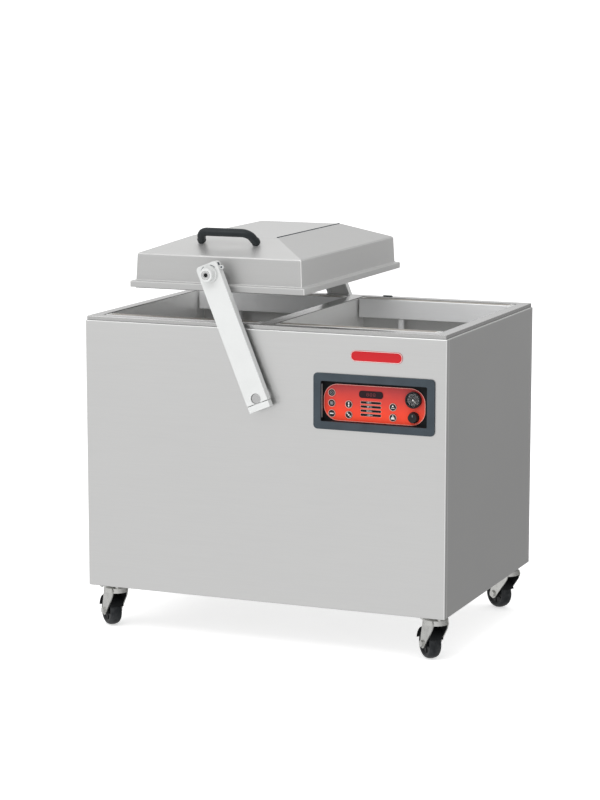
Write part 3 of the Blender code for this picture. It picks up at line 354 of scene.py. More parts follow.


# Painted light and shade in the steels: painted highlights on the folds of the panels and the lid, the lid painted
# darker on its front, back and right slope and lighter on its sides, and the tubs painted lighter on their side
# walls
STEEL = brushed_metal("panel_steel", (0.66, 0.66, 0.655), 0.36, fold_highlight=1.5)
LID_STEEL = brushed_metal("lid_steel", (0.575, 0.575, 0.57), 0.4, 0.65, 0.78, 1.1, 0.86, 1.65)
DECK_STEEL = brushed_metal("deck_steel", (0.49, 0.49, 0.485), 0.14, 0.9)
TUB_STEEL = brushed_metal("tub_steel", (0.56, 0.56, 0.555), 0.42, 0.6, flank_light=1.65)
ALUMINIUM = brushed_metal("bar_aluminium", (0.86, 0.865, 0.87), 0.42, 0.4)
ZINC = plated_metal("zinc", (0.64, 0.64, 0.62), 0.3)
TURNED = turned_metal("turned_steel", (0.58, 0.58, 0.58), 0.26)
WHITE = coated_metal("white_coat", (0.61, 0.62, 0.615), 0.38)
PUMP_PAINT = coated_metal("pump_paint", (0.2, 0.23, 0.26), 0.45, 0.0002)
# Slate and the recess black also colour painted shade: the arm slots and the lid's top edge line in slate, the
# forks' insides and the arms' clamp splits in black
SLATE = moulded_plastic("slate_moulding", (0.035, 0.048, 0.06), 0.5)
BLACK = moulded_plastic("black_moulding", (0.008, 0.009, 0.01), 0.36)
DARK = moulded_plastic("recess_black", (0.004, 0.005, 0.006), 0.75)
GRIP = moulded_plastic("grip_moulding", (0.012, 0.016, 0.018), 0.5, 1200.0)
TYRE = soft_rubber("tyre_rubber", (0.004, 0.006, 0.008), 0.36)
GASKET = soft_rubber("gasket_rubber", (0.15, 0.15, 0.15), 0.62)
SILICONE = soft_rubber("counter_silicone", (0.55, 0.16, 0.11), 0.55)
# The overlay is darker towards its top: painted shade where the recess shades the film's upper part
OVERLAY = printed_film("overlay_film", (0.84, 0.052, 0.016), (0.4, 0.034, 0.034), 0.596, 0.662)
BADGE = printed_film("badge_film", (0.49, 0.008, 0.013), (0.44, 0.006, 0.011), 0.731, 0.758)
CAST = cast_metal("cast_housing", (0.32, 0.33, 0.34), 0.55)
TAPE = woven_tape("ptfe_tape", (0.36, 0.33, 0.29))
LENS = clear_lens("display_lens", (0.016, 0.006, 0.009), 0.12)
GLASS = gauge_glass("gauge_glass")
PALE_INK = printed_ink("pale_ink", (0.74, 0.74, 0.72))
GREY_INK = printed_ink("grey_ink", (0.3, 0.31, 0.32))
BORDER_INK = printed_ink("border_ink", (0.82, 0.5, 0.44))
DIM_SEGMENT = printed_ink("dim_segment", (0.16, 0.016, 0.022), 0.3)
DIAL = printed_ink("dial_grey", (0.03, 0.031, 0.033), 0.5)
NEEDLE = printed_ink("needle_paint", (0.85, 0.85, 0.82), 0.35)
BOARD = moulded_plastic("circuit_board", (0.02, 0.16, 0.07), 0.4)


# ---- mesh helpers


def arc(radius, start, end, segments, centre=(0, 0)):
    """Points of an arc, angles in degrees, both ends included."""
    points = []
    for step in range(segments + 1):
        angle = math.radians(start + (end - start) * step / segments)
        points.append((centre[0] + radius * math.cos(angle), centre[1] + radius * math.sin(angle)))
    return points


def circle(radius, segments, centre=(0, 0)):
    return arc(radius, 0, 360, segments, centre)[:-1]


def rounded(size, radius, segments=6, centre=(0, 0)):
    """The outline of a rectangle with round corners."""
    half_w, half_h = size[0] / 2 - radius, size[1] / 2 - radius
    points = []
    for turn, (x, y) in enumerate(((1, 1), (-1, 1), (-1, -1), (1, -1))):
        corner = (centre[0] + x * half_w, centre[1] + y * half_h)
        points += arc(radius, 90 * turn, 90 * turn + 90, segments, corner)
    return points


def spin(angle, axis):
    return Matrix.Rotation(angle, 4, axis)


def tilt_to(direction):
    """The turn that takes local Z to a direction."""
    return Vector((0, 0, 1)).rotation_difference(direction).to_matrix().to_4x4()


def facing_front(x, y, z):
    """Local X to the right, local Y up and local Z towards the operator."""
    return facing_up(x, y, z) @ spin(QUARTER, "X")


def facing_back(x, y, z):
    return facing_up(x, y, z) @ spin(math.pi, "Z") @ spin(QUARTER, "X")


def facing_up(x, y, z):
    return Matrix.Translation((x, y, z))


def along_x(x, y, z):
    """Local Z along the machine's X, and local Y up."""
    return facing_up(x, y, z) @ spin(QUARTER, "Z") @ spin(QUARTER, "X")


def turned(bm, profile, steps, place, closed=False):
    """Adds a (radius, height) profile turned about the local Z axis of place."""
    rings = []
    for radius, height in profile:
        outline = circle(radius, steps) if radius > WELD else [(0, 0)]
        rings.append([bm.verts.new(place @ Vector((x, y, height))) for x, y in outline])
    pairs = list(zip(rings, rings[1:]))
    if closed:
        pairs.append((rings[-1], rings[0]))
    for lower, upper in pairs:
        for index in range(steps):
            after = (index + 1) % steps
            corners = [lower[index % len(lower)], lower[after % len(lower)]]
            corners += [upper[after % len(upper)], upper[index % len(upper)]]
            distinct = list(dict.fromkeys(corners))
            if len(distinct) > 2:
                bm.faces.new(distinct)


def prism(bm, outline, low, high, place):
    """Adds an outline in the local XY plane, extruded from low to high along local Z."""
    skin(bm, [[bm.verts.new(place @ Vector((x, y, z))) for x, y in outline] for z in (low, high)])


def ring_prism(bm, outer, inner, low, high, place):
    """Adds the band between two outlines of as many points, extruded along local Z."""
    loops = [
        [bm.verts.new(place @ Vector((x, y, z))) for x, y in outline]
        for outline, z in ((outer, low), (outer, high), (inner, high), (inner, low))
    ]
    skin(bm, loops + loops[:1], capped=False)


def skin(bm, rings, capped=True):
    """Adds the quads between rings of as many points, and caps on the first and last if asked."""
    for lower, upper in zip(rings, rings[1:]):
        for index in range(len(lower)):
            after = (index + 1) % len(lower)
            bm.faces.new((lower[index], lower[after], upper[after], upper[index]))
    if capped:
        bm.faces.new(rings[0][::-1])
        bm.faces.new(rings[-1])


def add_object(name, data):
    """An object in the scene with this mesh, camera or light."""
    obj = bpy.data.objects.new(name, data)
    bpy.context.scene.collection.objects.link(obj)
    return obj


def add_piece(name, bm, material, body="cabinet", replaced=(), angle=SMOOTH_ANGLE):
    """A shown piece from a bmesh: smooth-shaded, riding on its body."""
    bmesh.ops.recalc_face_normals(bm, faces=bm.faces)
    mesh = bpy.data.meshes.new(name)
    bm.to_mesh(mesh)
    bm.free()
    mesh.materials.append(material)
    mesh.shade_smooth()
    mesh.set_sharp_from_angle(angle=angle)
    obj = add_object(name, mesh)
    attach(obj, body)
    if replaced:
        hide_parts(*replaced)
    return obj


def soften(obj, width, segments=3):
    """Rounds the piece's edges, and keeps its flat faces flat."""
    bevel = obj.modifiers.new("edges", "BEVEL")
    bevel.width = width
    bevel.segments = segments
    bevel.limit_method = "ANGLE"
    bevel.angle_limit = EDGE_ANGLE
    keep_flats(obj)


def keep_flats(obj):
    """Leans the shading at each corner on the largest faces that meet there."""
    weighted = obj.modifiers.new("normals", "WEIGHTED_NORMAL")
    weighted.keep_sharp = True
    weighted.weight = 100


RECORD = frame["record"]
JOINTS = {joint["name"]: joint for joint in frame["joints"]}
SLOT_OF = {row["node"]: row["material_slot"] for row in RECORD["subparts"]}
BODY_OF = {node: body for body, nodes in RECORD["behaviour"]["bodies"].items() for node in nodes}


def welded(node):
    """A bmesh of a CAD node with its corners joined and its flat faces whole."""
    bm = bmesh.new()
    bm.from_mesh(frame["nodes"][node].data)
    bmesh.ops.remove_doubles(bm, verts=bm.verts, dist=WELD)
    bmesh.ops.dissolve_limit(bm, angle_limit=FLAT, verts=bm.verts, edges=bm.edges)
    bmesh.ops.recalc_face_normals(bm, faces=bm.faces)
    clean = bmesh.new()
    copies = [clean.verts.new(vert.co) for vert in bm.verts]
    bm.verts.index_update()
    for face in bm.faces:
        clean.faces.new([copies[vert.index] for vert in face.verts])
    bm.free()
    return clean


def refined(node, material, edge=0.0, angle=SMOOTH_ANGLE):
    """A sheet or block part with its CAD shape, true rounded folds and, if asked, softened edges."""
    body, slot = BODY_OF[node], SLOT_OF[node]
    obj = add_piece(node + "_finished", welded(node), material, body, [node], angle)
    if edge:
        soften(obj, edge, 2)
    else:
        keep_flats(obj)


def paint(node, material):
    """Gives a carried-over CAD node its finish."""
    mesh = frame["nodes"][node].data
    for index in range(len(mesh.materials)):
        mesh.materials[index] = material


def middle_of(node):
    low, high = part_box(node)
    return (low + high) / 2


def size_of(node):
    low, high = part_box(node)
    return high - low


def front_of(node):
    """A frame at the middle of a node's front face: local Z towards the operator."""
    middle = middle_of(node)
    return facing_front(middle.x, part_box(node)[0].y, middle.z)


def seated(node):
    """A round control's radius and depth, and a frame like front_of on its back face."""
    size = size_of(node)
    return size.x / 2, size.y, front_of(node) @ facing_up(0, 0, -size.y)


# ---- cabinet

CORNERS = ("front_left", "front_right", "rear_left", "rear_right")
SIDES = {"left": -1, "right": 1}
ENDS = {"front": -1, "rear": 1}

SMALL_EDGE = 0.0006
SCREW_RADIUS = 0.0042
SCREW_DOME = [math.radians(angle) for angle in (0, 25, 50, 70)]
SCREW_INSET = 0.022
SCREW_X = 0.16

PORT_X = 0.06
TUB_SHEET = 0.002
GRILLE_RADIUS = 0.021
GRILLE_RISE = 0.001
STUDS = 8
STUD_CIRCLE = 0.011
STUD_RADIUS = 0.0026

STOP_X = 0.078
STOP_INSET = 0.0052
STOP_SIZE = (0.026, 0.0084)
STOP_CORNER = 0.0035
STOP_RISE = 0.002


def pan_screw(bm, place, radius=SCREW_RADIUS):
    """A domed screw head with a dimple in its middle, its seat at local z = 0."""
    rise = radius * 0.55
    dome = [(radius * math.cos(angle), rise * math.sin(angle)) for angle in SCREW_DOME]
    profile = [(radius, -2 * PROUD)] + dome + [(radius * 0.2, rise), (0, radius * 0.5)]
    turned(bm, profile, 20, place)


def make_cabinet():
    for node in ("front_panel", "back_panel", "left_side_panel", "right_side_panel"):
        refined(node, STEEL)
    refined("base_tray", STEEL, 0.0008)
    refined("top_deck", DECK_STEEL)
    for side in SIDES:
        refined(side + "_chamber_tub", TUB_STEEL)


def make_back_screws():
    """Screws that hold the service panel at the back."""
    low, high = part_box("back_panel")
    left, right = low.x + SCREW_INSET, high.x - SCREW_INSET
    bm = bmesh.new()
    for x in (left, -SCREW_X, SCREW_X, right):
        for z in (low.z + SCREW_INSET, high.z - SCREW_INSET):
            pan_screw(bm, facing_back(x, high.y, z))
    for x in (left, right):
        pan_screw(bm, facing_back(x, high.y, (low.z + high.z) / 2))
    add_piece("service_panel_screws", bm, TURNED)


def make_port_grilles():
    """A disc over the air port in each chamber's floor, with a ring of raised studs."""
    rim, head = GRILLE_RADIUS, GRILLE_RISE + 0.0003
    stud = [(0, head), (STUD_RADIUS - 0.0004, head), (STUD_RADIUS, GRILLE_RISE)]
    for side, sign in SIDES.items():
        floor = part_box(side + "_chamber_tub")[0].z + TUB_SHEET
        bm = bmesh.new()
        place = facing_up(sign * PORT_X, 0, floor + PROUD)
        turned(bm, [(0, GRILLE_RISE), (rim - 0.001, GRILLE_RISE), (rim, PROUD), (rim, 0.0)], 40, place)
        for step in range(STUDS):
            turn = spin(2 * math.pi * step / STUDS, "Z")
            turned(bm, stud, 14, place @ turn @ facing_up(STUD_CIRCLE, 0, 0))
        add_piece(side + "_port_grille", bm, TURNED)


def make_rim_stop():
    """The small flat lid stop on the rear rim."""
    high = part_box("top_deck")[1]
    bm = bmesh.new()
    place = facing_up(STOP_X, high.y - STOP_INSET, high.z)
    prism(bm, rounded(STOP_SIZE, STOP_CORNER), 0.0, STOP_RISE, place)
    soften(add_piece("rim_stop", bm, SLATE), SMALL_EDGE)


# ---- seal bars

TAPE_INSET = 0.012
TAPE_HALF = 0.0125
TAPE_RISE = 0.0003
BAND_Y = 0.004
BAND_HALF = 0.0026
BAND_RISE = 0.0005

CLAMP_INSET = 0.007
CLAMP_SIZE = (0.009, 0.024)
CLAMP_RISE = 0.0006
CLAMP_SCREW_Y = 0.007
CLAMP_SCREW = 0.0017


def make_seal_bars():
    for side in SIDES:
        for end in ENDS:
            node = f"{side}_{end}_seal_bar"
            refined(node, ALUMINIUM)
            make_bar_tape(node)
            make_bar_clamps(node)


def make_bar_tape(node):
    """The brown non-stick tape over the bar's top, with the two heating bands raised under it."""
    middle = middle_of(node)
    half = size_of(node).x / 2 - TAPE_INSET
    section = [(-TAPE_HALF, 0.0), (-TAPE_HALF, TAPE_RISE)]
    for centre in (-BAND_Y, BAND_Y):
        for share, rise in ((-1, TAPE_RISE), (-0.6, BAND_RISE), (0.6, BAND_RISE), (1, TAPE_RISE)):
            section.append((centre + share * BAND_HALF, rise))
    section += [(TAPE_HALF, TAPE_RISE), (TAPE_HALF, 0.0)]
    bm = bmesh.new()
    prism(bm, section, -half, half, along_x(middle.x, middle.y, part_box(node)[1].z))
    add_piece(node + "_tape", bm, TAPE, BODY_OF[node])


def make_bar_clamps(node):
    """The blocks that clamp the heating bands at both ends of the bar."""
    low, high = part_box(node)
    bm = bmesh.new()
    for x in (low.x + CLAMP_INSET, high.x - CLAMP_INSET):
        place = facing_up(x, middle_of(node).y, high.z)
        prism(bm, rounded(CLAMP_SIZE, 0.002), 0.0, CLAMP_RISE, place)
        for y in (-CLAMP_SCREW_Y, CLAMP_SCREW_Y):
            pan_screw(bm, place @ facing_up(0, y, CLAMP_RISE), CLAMP_SCREW)
    add_piece(node + "_clamps", bm, ZINC, BODY_OF[node])


# ---- arms

PIVOT = JOINTS["lid_level"]["pos_m"]
SHAFT = JOINTS["arm_swing"]["pos_m"]
ARM_TILT = math.atan2(PIVOT[0] - SHAFT[0], PIVOT[2] - SHAFT[2])
ARM_LENGTH = math.dist((PIVOT[0], PIVOT[2]), (SHAFT[0], SHAFT[2]))

BOSS_ANGLE = math.radians(28)
SCREW_BORE = 0.0052
SLOT_SPANS = ((108, 160), (28, 62))
SLOT_OUTER = 0.0236
SLOT_INNER = 0.0222

SPLIT_DROP = 0.0119
SPLIT_SHADE_X = 0.0205
SPLIT_SHADE_SIZE = (0.014, 0.0011)

LUG_X = 0.029
LUG_UP = 0.006
LUG_DEPTH = 0.011
LUG_SIZE = (0.008, 0.009)
LUG_HALF = 0.004
RELIEF_UP = 0.0165
RELIEF_LENGTH = 0.007


def arm_face(end):
    """A frame on an arm's outer face: local Z outwards, its origin on the lid's pivot line."""
    low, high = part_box(end + "_arm")
    if end == "front":
        return facing_front(PIVOT[0], low.y, PIVOT[2]) @ spin(-ARM_TILT, "Z")
    return facing_back(PIVOT[0], high.y, PIVOT[2]) @ spin(ARM_TILT, "Z")


def make_arms():
    for end in ENDS:
        refined(end + "_arm", WHITE)
        refined(end + "_arm_clamp", WHITE)
        make_pivot_boss(end)
        make_arm_slots(end)
        make_arm_lug(end)
        make_clamp_split(end)
    refined("cross_shaft", TURNED, SMALL_EDGE)
    for end in ENDS:
        refined(end + "_shaft_bearing", TURNED)


def make_pivot_boss(end):
    """The domed boss of a lid pivot, with its grey washer and its black hexagon screw."""
    node = end + "_lid_pivot"
    refined(node, WHITE, angle=BOSS_ANGLE)
    place = arm_face(end)
    outer = list(ENDS).index(end)
    top = abs(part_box(node)[outer].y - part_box(end + "_arm")[outer].y)
    bm = bmesh.new()
    profile = [(SCREW_BORE, top - 0.002), (SCREW_BORE, top - 0.001), (0.0087, top - 0.001)]
    profile += [(0.009, top), (0.0104, top + 0.0004), (0.0116, top), (0.0118, top - 0.0006)]
    turned(bm, profile, 48, place, closed=True)
    add_piece(end + "_pivot_washer", bm, TURNED, "arm_pair")
    bm = bmesh.new()
    prism(bm, circle(SCREW_BORE - 0.0001, 6), top - 0.006, top - 0.0013, place)
    add_piece(end + "_pivot_screw", bm, DARK, "arm_pair")


def make_arm_slots(end):
    """Two curved slots round the boss, drawn as thin dark strips on the white arm: painted shade for the open
    slots.
    """
    bm = bmesh.new()
    for start, finish in SLOT_SPANS:
        outer = arc(SLOT_OUTER, start, finish, 14)
        inner = arc(SLOT_INNER, finish, start, 14)
        prism(bm, outer + inner, PROUD / 2, PROUD, arm_face(end))
    add_piece(end + "_arm_slots", bm, SLATE, "arm_pair")


def make_clamp_split(end):
    """Painted shade: dark strips in the split between an arm's foot and its clamp cap, on both sides of the shaft,
    for the gap that shows dark there.
    """
    bm = bmesh.new()
    for x in (-SPLIT_SHADE_X, SPLIT_SHADE_X):
        place = arm_face(end) @ facing_up(x, -ARM_LENGTH - SPLIT_DROP, 0)
        prism(bm, rounded(SPLIT_SHADE_SIZE, 0.0003, 2), -0.0028, -0.0004, place)
    add_piece(end + "_clamp_split_shade", bm, DARK, "arm_pair")


def make_arm_lug(end):
    """The folded stop lug on the arm's upper edge, its screw, and the relief slot above it, drawn as a thin dark
    sheet: painted shade for the open slot.
    """
    edge = -ENDS[end] * LUG_X
    place = arm_face(end) @ facing_up(edge * 1.12, LUG_UP, -LUG_DEPTH)
    bm = bmesh.new()
    prism(bm, rounded(LUG_SIZE, 0.0012), -LUG_HALF, LUG_HALF, place)
    soften(add_piece(end + "_arm_lug", bm, WHITE, "arm_pair"), SMALL_EDGE)
    bm = bmesh.new()
    pan_screw(bm, place @ facing_up(edge * 0.03, 0, LUG_HALF), 0.0024)
    slot = arm_face(end) @ facing_up(edge, RELIEF_UP, -0.009)
    prism(bm, rounded((2 * PROUD, RELIEF_LENGTH), PROUD / 2, 2), -0.0045, 0.0045, slot)
    add_piece(end + "_arm_slot_and_screw", bm, SLATE, "arm_pair")


# ---- lid

GRIP_RADIUS = 0.0102
GRIP_REACH = Vector((0, -0.03, 0.029))
GRIP_BEND = 0.024
GRIP_RISE = GRIP_REACH.normalized()
GRIP_STEPS = 24
# How thick the bar is at its first rings from either foot, against 1 elsewhere
GRIP_SWELL = {0: 0.86, 1: 1.06, 2: 1.03}

STUD_RISE = 0.001
STUD_DROP = 0.0046
GRIP_STUD = 0.004

BEAD_Y = 0.277
BEAD_RADIUS = 0.0052


def make_lid():
    refined("lid_shell", LID_STEEL)
    refined("lid_gasket", GASKET, 0.0015)
    make_lid_edge_shade()
    make_grip()
    for end in ENDS:
        refined(end + "_counter_bar", ALUMINIUM)
        make_counter_bead(end)


def make_lid_edge_shade():
    """Painted shade: a thin dark raised strip along the right edge of the lid's flat top, for the dark line where
    the top meets the right slope.
    """
    shell = frame["nodes"]["lid_shell"].data
    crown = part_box("lid_shell")[1].z
    top = [vert.co for vert in shell.vertices if vert.co.z > crown - PROUD / 2]
    right = max(point.x for point in top)
    back, front = max(point.y for point in top), min(point.y for point in top)
    bm = bmesh.new()
    place = facing_up(right, (back + front) / 2, crown)
    prism(bm, rounded((0.0014, back - front), 0.0006, 2), -0.001, 0.0017, place)
    add_piece("lid_top_edge_shade", bm, SLATE, "lid")


def make_counter_bead(end):
    """The silicone strip that the seal bar presses the bag against."""
    node = end + "_counter_bar"
    place = along_x(middle_of(node).x, ENDS[end] * BEAD_Y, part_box(node)[0].z + 0.0048)
    half = size_of(node).x / 2 - 0.001
    bm = bmesh.new()
    prism(bm, arc(BEAD_RADIUS, 180, 360, 12), -half, half, place)
    add_piece(end + "_counter_silicone", bm, SILICONE, "lid")


def grip_path():
    """The handle's centre line: up one leg, along the bar and down the other leg."""
    low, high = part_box("lid_handle")
    centre_x = (low.x + high.x) / 2
    half = (high.x - low.x) / 2 - GRIP_RADIUS
    bar = Vector((centre_x, low.y + GRIP_RADIUS, high.z - GRIP_RADIUS))
    length = GRIP_REACH.length
    leg = [(half, -length + 0.005), (half, -length + 0.0056), (half + 0.0004, -length + 0.012)]
    bend = arc(GRIP_BEND, 0, 90, 10, (half - 0.003 - GRIP_BEND, -GRIP_BEND))
    side = leg + bend + [(half * 0.3, 0.0)]
    points = side + [(-x, z) for x, z in reversed(side)]
    return [bar + Vector((x, 0, 0)) + GRIP_RISE * z for x, z in points]


def make_grip():
    """A moulded bow handle: a rounded bar that swells a little into its two feet."""
    path = grip_path()
    across = Vector((1, 0, 0)).cross(GRIP_RISE).normalized()
    bm = bmesh.new()
    rings = []
    for index, point in enumerate(path):
        before, after = path[max(index - 1, 0)], path[min(index + 1, len(path) - 1)]
        side = (after - before).normalized().cross(across).normalized()
        swell = GRIP_SWELL.get(min(index, len(path) - 1 - index), 1.0)
        ring = []
        for a, b in circle(1.0, GRIP_STEPS):
            flat = 1.0 / (abs(a) ** 3 + abs(b) ** 3) ** (1 / 3)
            radius = GRIP_RADIUS * swell * (0.55 + 0.45 * flat) * 0.96
            ring.append(bm.verts.new(point + side * a * radius + across * b * radius))
        rings.append(ring)
    skin(bm, rings)
    add_piece("grip", bm, GRIP, "lid", ["lid_handle"], math.radians(45))
    make_grip_studs(path)


def make_grip_studs(path):
    """The steel studs under the handle's feet."""
    stud = [(0, STUD_RISE), (GRIP_STUD, STUD_RISE), (GRIP_STUD, -STUD_DROP), (0, -STUD_DROP)]
    bm = bmesh.new()
    for foot in (path[0], path[-1]):
        turned(bm, stud, 24, Matrix.Translation(foot) @ tilt_to(GRIP_RISE))
    add_piece("grip_studs", bm, ZINC, "lid")


# ---- control panel

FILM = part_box("control_overlay")[0].y
KEY_ROWS = {"left": 3, "middle": 2, "right": 2}
KEYS = [f"{column}_key_{row}" for column, rows in KEY_ROWS.items() for row in range(1, rows + 1)]
FILM_EDGES = ((0.001, 0.0355), (0.0026, 0.0347))
STRIP_INSET = 0.0028
STRIP_SIZE = (0.0007, 0.082)
LAYER = PROUD / 2


def make_control_panel():
    refined("control_bezel", SLATE)
    make_recess_edge_highlight()
    refined("control_tray", DARK, 0.0004)
    refined("control_overlay", OVERLAY)
    edge_line("overlay_border", "control_overlay", FILM_EDGES, 14, BORDER_INK)
    make_status_bars()
    make_display()
    make_gauge()
    make_knob()
    for key in KEYS:
        make_key(key)
    make_badge()


def make_recess_edge_highlight():
    """Painted highlight: a grey strip for the lit edge of the tray's sheet, in the left of the recess."""
    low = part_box("control_tray")[0]
    bm = bmesh.new()
    place = facing_front(low.x + STRIP_INSET, 0, middle_of("control_tray").z)
    prism(bm, rounded(STRIP_SIZE, 0.0003), -low.y - 0.005, -low.y - 0.001, place)
    add_piece("recess_edge_highlight", bm, GREY_INK)


def edge_line(name, node, edges, segments, ink):
    """A line printed round a node's front. Edges: (how much smaller, corner radius), outer and inner."""
    size = size_of(node)
    outlines = [rounded((size.x - less, size.z - less), r, segments) for less, r in edges]
    bm = bmesh.new()
    ring_prism(bm, *outlines, 0.0, LAYER, front_of(node))
    add_piece(name, bm, ink)


STATUS_ROWS = (0.631, 0.621, 0.611, 0.601)
STATUS_SPAN = (0.253, 0.3055)
STATUS_HEIGHT = 0.006


def make_status_bars():
    """Four black level bars with a pale edge, each with three lamp marks and a short index line."""
    start, end = STATUS_SPAN
    size = (end - start, STATUS_HEIGHT)
    bars, marks, edges = bmesh.new(), bmesh.new(), bmesh.new()
    for row, z in enumerate(STATUS_ROWS):
        place = facing_front((start + end) / 2, FILM, z)
        inner = rounded(size, 0.0024)
        prism(bars, inner, 0.0, LAYER, place)
        outer = rounded((size[0] + 0.0009, size[1] + 0.0009), 0.0028)
        ring_prism(edges, outer, inner, 0.0, PROUD / 4, place)
        mark = facing_front(start + 0.0195 + 0.0008 * (row % 2), FILM, z)
        for step in range(3):
            bar_height = 0.0016 + 0.0011 * ((step + row) % 3)
            tick = rounded((0.0012, bar_height), 0.0003, 2, (-0.0028 + step * 0.0024, 0))
            prism(marks, tick, LAYER, PROUD, mark)
        index_line = rounded((0.0032 + 0.0016 * row, 0.0008), 0.0003, 2, (0.0065, 0))
        prism(marks, index_line, LAYER, PROUD, mark)
    add_piece("status_bars", bars, DARK)
    add_piece("status_marks", marks, PALE_INK)
    add_piece("status_edges", edges, BORDER_INK)


# Across and up from a digit's middle, in half widths and heights, and whether the segment lies flat
SEGMENTS = [(0, up, True) for up in (1, 0, -1)]
SEGMENTS += [(across, up, False) for up in (0.5, -0.5) for across in (-1, 1)]
DIGIT_PITCH = 0.0085
DIGIT_HALF = (0.0026, 0.0034)
STROKE = 0.0009


def make_display():
    """The smoked window and the unlit digit segments behind it."""
    refined("display_window", LENS, 0.0004)
    half_w, half_h = DIGIT_HALF
    bm = bmesh.new()
    for digit in (-1, 0, 1):
        for across, up, flat in SEGMENTS:
            size = (half_w * 1.7, STROKE) if flat else (STROKE, half_h * 0.8)
            centre = (digit * DIGIT_PITCH + across * half_w, up * half_h)
            prism(bm, rounded(size, 0.0003, 2, centre), 0.0, LAYER, front_of("display_window"))
    add_piece("display_digits", bm, DIM_SEGMENT)


DIAL_SEAT = 0.004
DIAL_RISE = 0.0003
GLASS_SINK = 0.0012
GLASS_THICK = 0.0006
SCALE_STEPS = 30


def make_gauge():
    """A panel vacuum gauge: black bezel, printed dial, clear glass. Its needle is a body of its own."""
    radius, depth, place = seated("gauge_body")
    rim = [(0, 0.0), (radius, 0.0), (radius, depth - 0.0016), (radius - 0.0006, depth - 0.0004)]
    rim += [(radius - 0.0014, depth), (radius - 0.0028, depth), (radius - 0.0038, depth - 0.0008)]
    rim += [(radius - 0.0042, DIAL_SEAT), (0, DIAL_SEAT)]
    bm = bmesh.new()
    turned(bm, rim, 72, place)
    add_piece("gauge_case", bm, BLACK, "cabinet", ["gauge_body"])
    face = radius - 0.0044
    bm = bmesh.new()
    disc(bm, face, DIAL_SEAT, DIAL_SEAT + DIAL_RISE, place)
    add_piece("gauge_dial", bm, DIAL)
    make_gauge_marks(place, face)
    bm = bmesh.new()
    glass = depth - GLASS_SINK
    disc(bm, face + 0.0006, glass - GLASS_THICK, glass, place)
    add_piece("gauge_glass", bm, GLASS)
    paint("gauge_needle", NEEDLE)
    needle = middle_of("gauge_needle")
    hub = bmesh.new()
    profile = [(0, 0.001), (0.0016, 0.0009), (0.0022, 0.0004), (0.0022, 0.0003), (0, 0.0003)]
    turned(hub, profile, 24, facing_front(place.translation.x, needle.y, place.translation.z))
    add_piece("gauge_needle_hub", hub, NEEDLE, "needle")


def disc(bm, radius, low, high, place):
    turned(bm, [(0, high), (radius, high), (radius, low), (0, low)], 64, place)


def make_gauge_marks(place, face):
    """Scale ticks over three quarters of the dial, a long one every fifth."""
    bm = bmesh.new()
    low = DIAL_SEAT + DIAL_RISE
    for step in range(SCALE_STEPS + 1):
        angle = math.radians(225 - 270 * step / SCALE_STEPS)
        length, width = (0.0034, 0.0007) if step % 5 == 0 else (0.002, 0.0004)
        tick = rounded((length, width), width / 3, 2, (face - 0.0008 - length / 2, 0))
        prism(bm, tick, low, low + PROUD, place @ spin(angle, "Z"))
    add_piece("gauge_ticks", bm, GREY_INK)


FLUTES = 18
FLUTE_DEPTH = 0.0005
FLUTE_STEPS = 6


def make_knob():
    """A fluted push-on knob with a pale pointer line."""
    radius, depth, place = seated("control_knob")
    # Radius, height and how deep the flutes are, from the skirt to the hollow in the cap
    rows = [(radius, 0.0, 0.0), (radius, 0.0022, 0.0), (radius - 0.0006, 0.0028, 0.0)]
    rows += [(0.0126, 0.0034, 0.5), (0.0121, depth - 0.0022, 1.0), (0.0117, depth - 0.001, 0.8)]
    rows += [(0.0108, depth - 0.0002, 0.2), (0.01, depth, 0.0), (0.0088, depth - 0.0006, 0.0)]
    bm = bmesh.new()
    steps = FLUTES * FLUTE_STEPS
    rings = []
    for reach, height, fluting in rows:
        ring = []
        for step in range(steps):
            angle = 2 * math.pi * step / steps
            across = reach - FLUTE_DEPTH * fluting * (1 - math.cos(FLUTES * angle)) / 2
            local = Vector((across * math.cos(angle), across * math.sin(angle), height))
            ring.append(bm.verts.new(place @ local))
        rings.append(ring)
    skin(bm, rings)
    add_piece("knob_cap", bm, BLACK, "knob", ["control_knob"])
    bm = bmesh.new()
    line = rounded((0.001, 0.006), 0.0004, 2, (0, 0.005))
    prism(bm, line, depth - 0.0007, depth - 0.0004, place)
    add_piece("knob_line", bm, GREY_INK, "knob")


# Plain generic signs, shapes only: a pair of outlines is a ring
SIGNS = {
    "left_key_1": [(circle(0.0046, 28), circle(0.0038, 28)), circle(0.001, 14)],
    "left_key_2": [
        (rounded((0.0074, 0.0074), 0.0016), rounded((0.0054, 0.0054), 0.001)),
        rounded((0.0034, 0.0034), 0.0006),
    ],
    "left_key_3": [rounded((0.01, 0.0028), 0.0009)],
    "middle_key_1": [
        rounded((0.003, 0.0046), 0.001, 6, (0, 0.0032)),
        rounded((0.003, 0.0052), 0.0012, 6, (0, -0.0028)),
    ],
    "middle_key_2": [
        circle(0.0018, 20, (-0.0034, 0.0036)),
        circle(0.0022, 20),
        circle(0.0018, 20, (0.0038, -0.0036)),
    ],
    "right_key_1": [
        [(-0.0026, 0.001), (0.0026, 0.001), (0, 0.0052)],
        rounded((0.009, 0.0012), 0.0005, 4, (0, -0.0022)),
    ],
    "right_key_2": [
        circle(0.0016, 20, (0, 0.0042)),
        [(-0.005, -0.004), (0.005, -0.004), (0.0034, 0.0014), (-0.0034, 0.0014)],
    ],
}
KEY_DOME = 0.00025


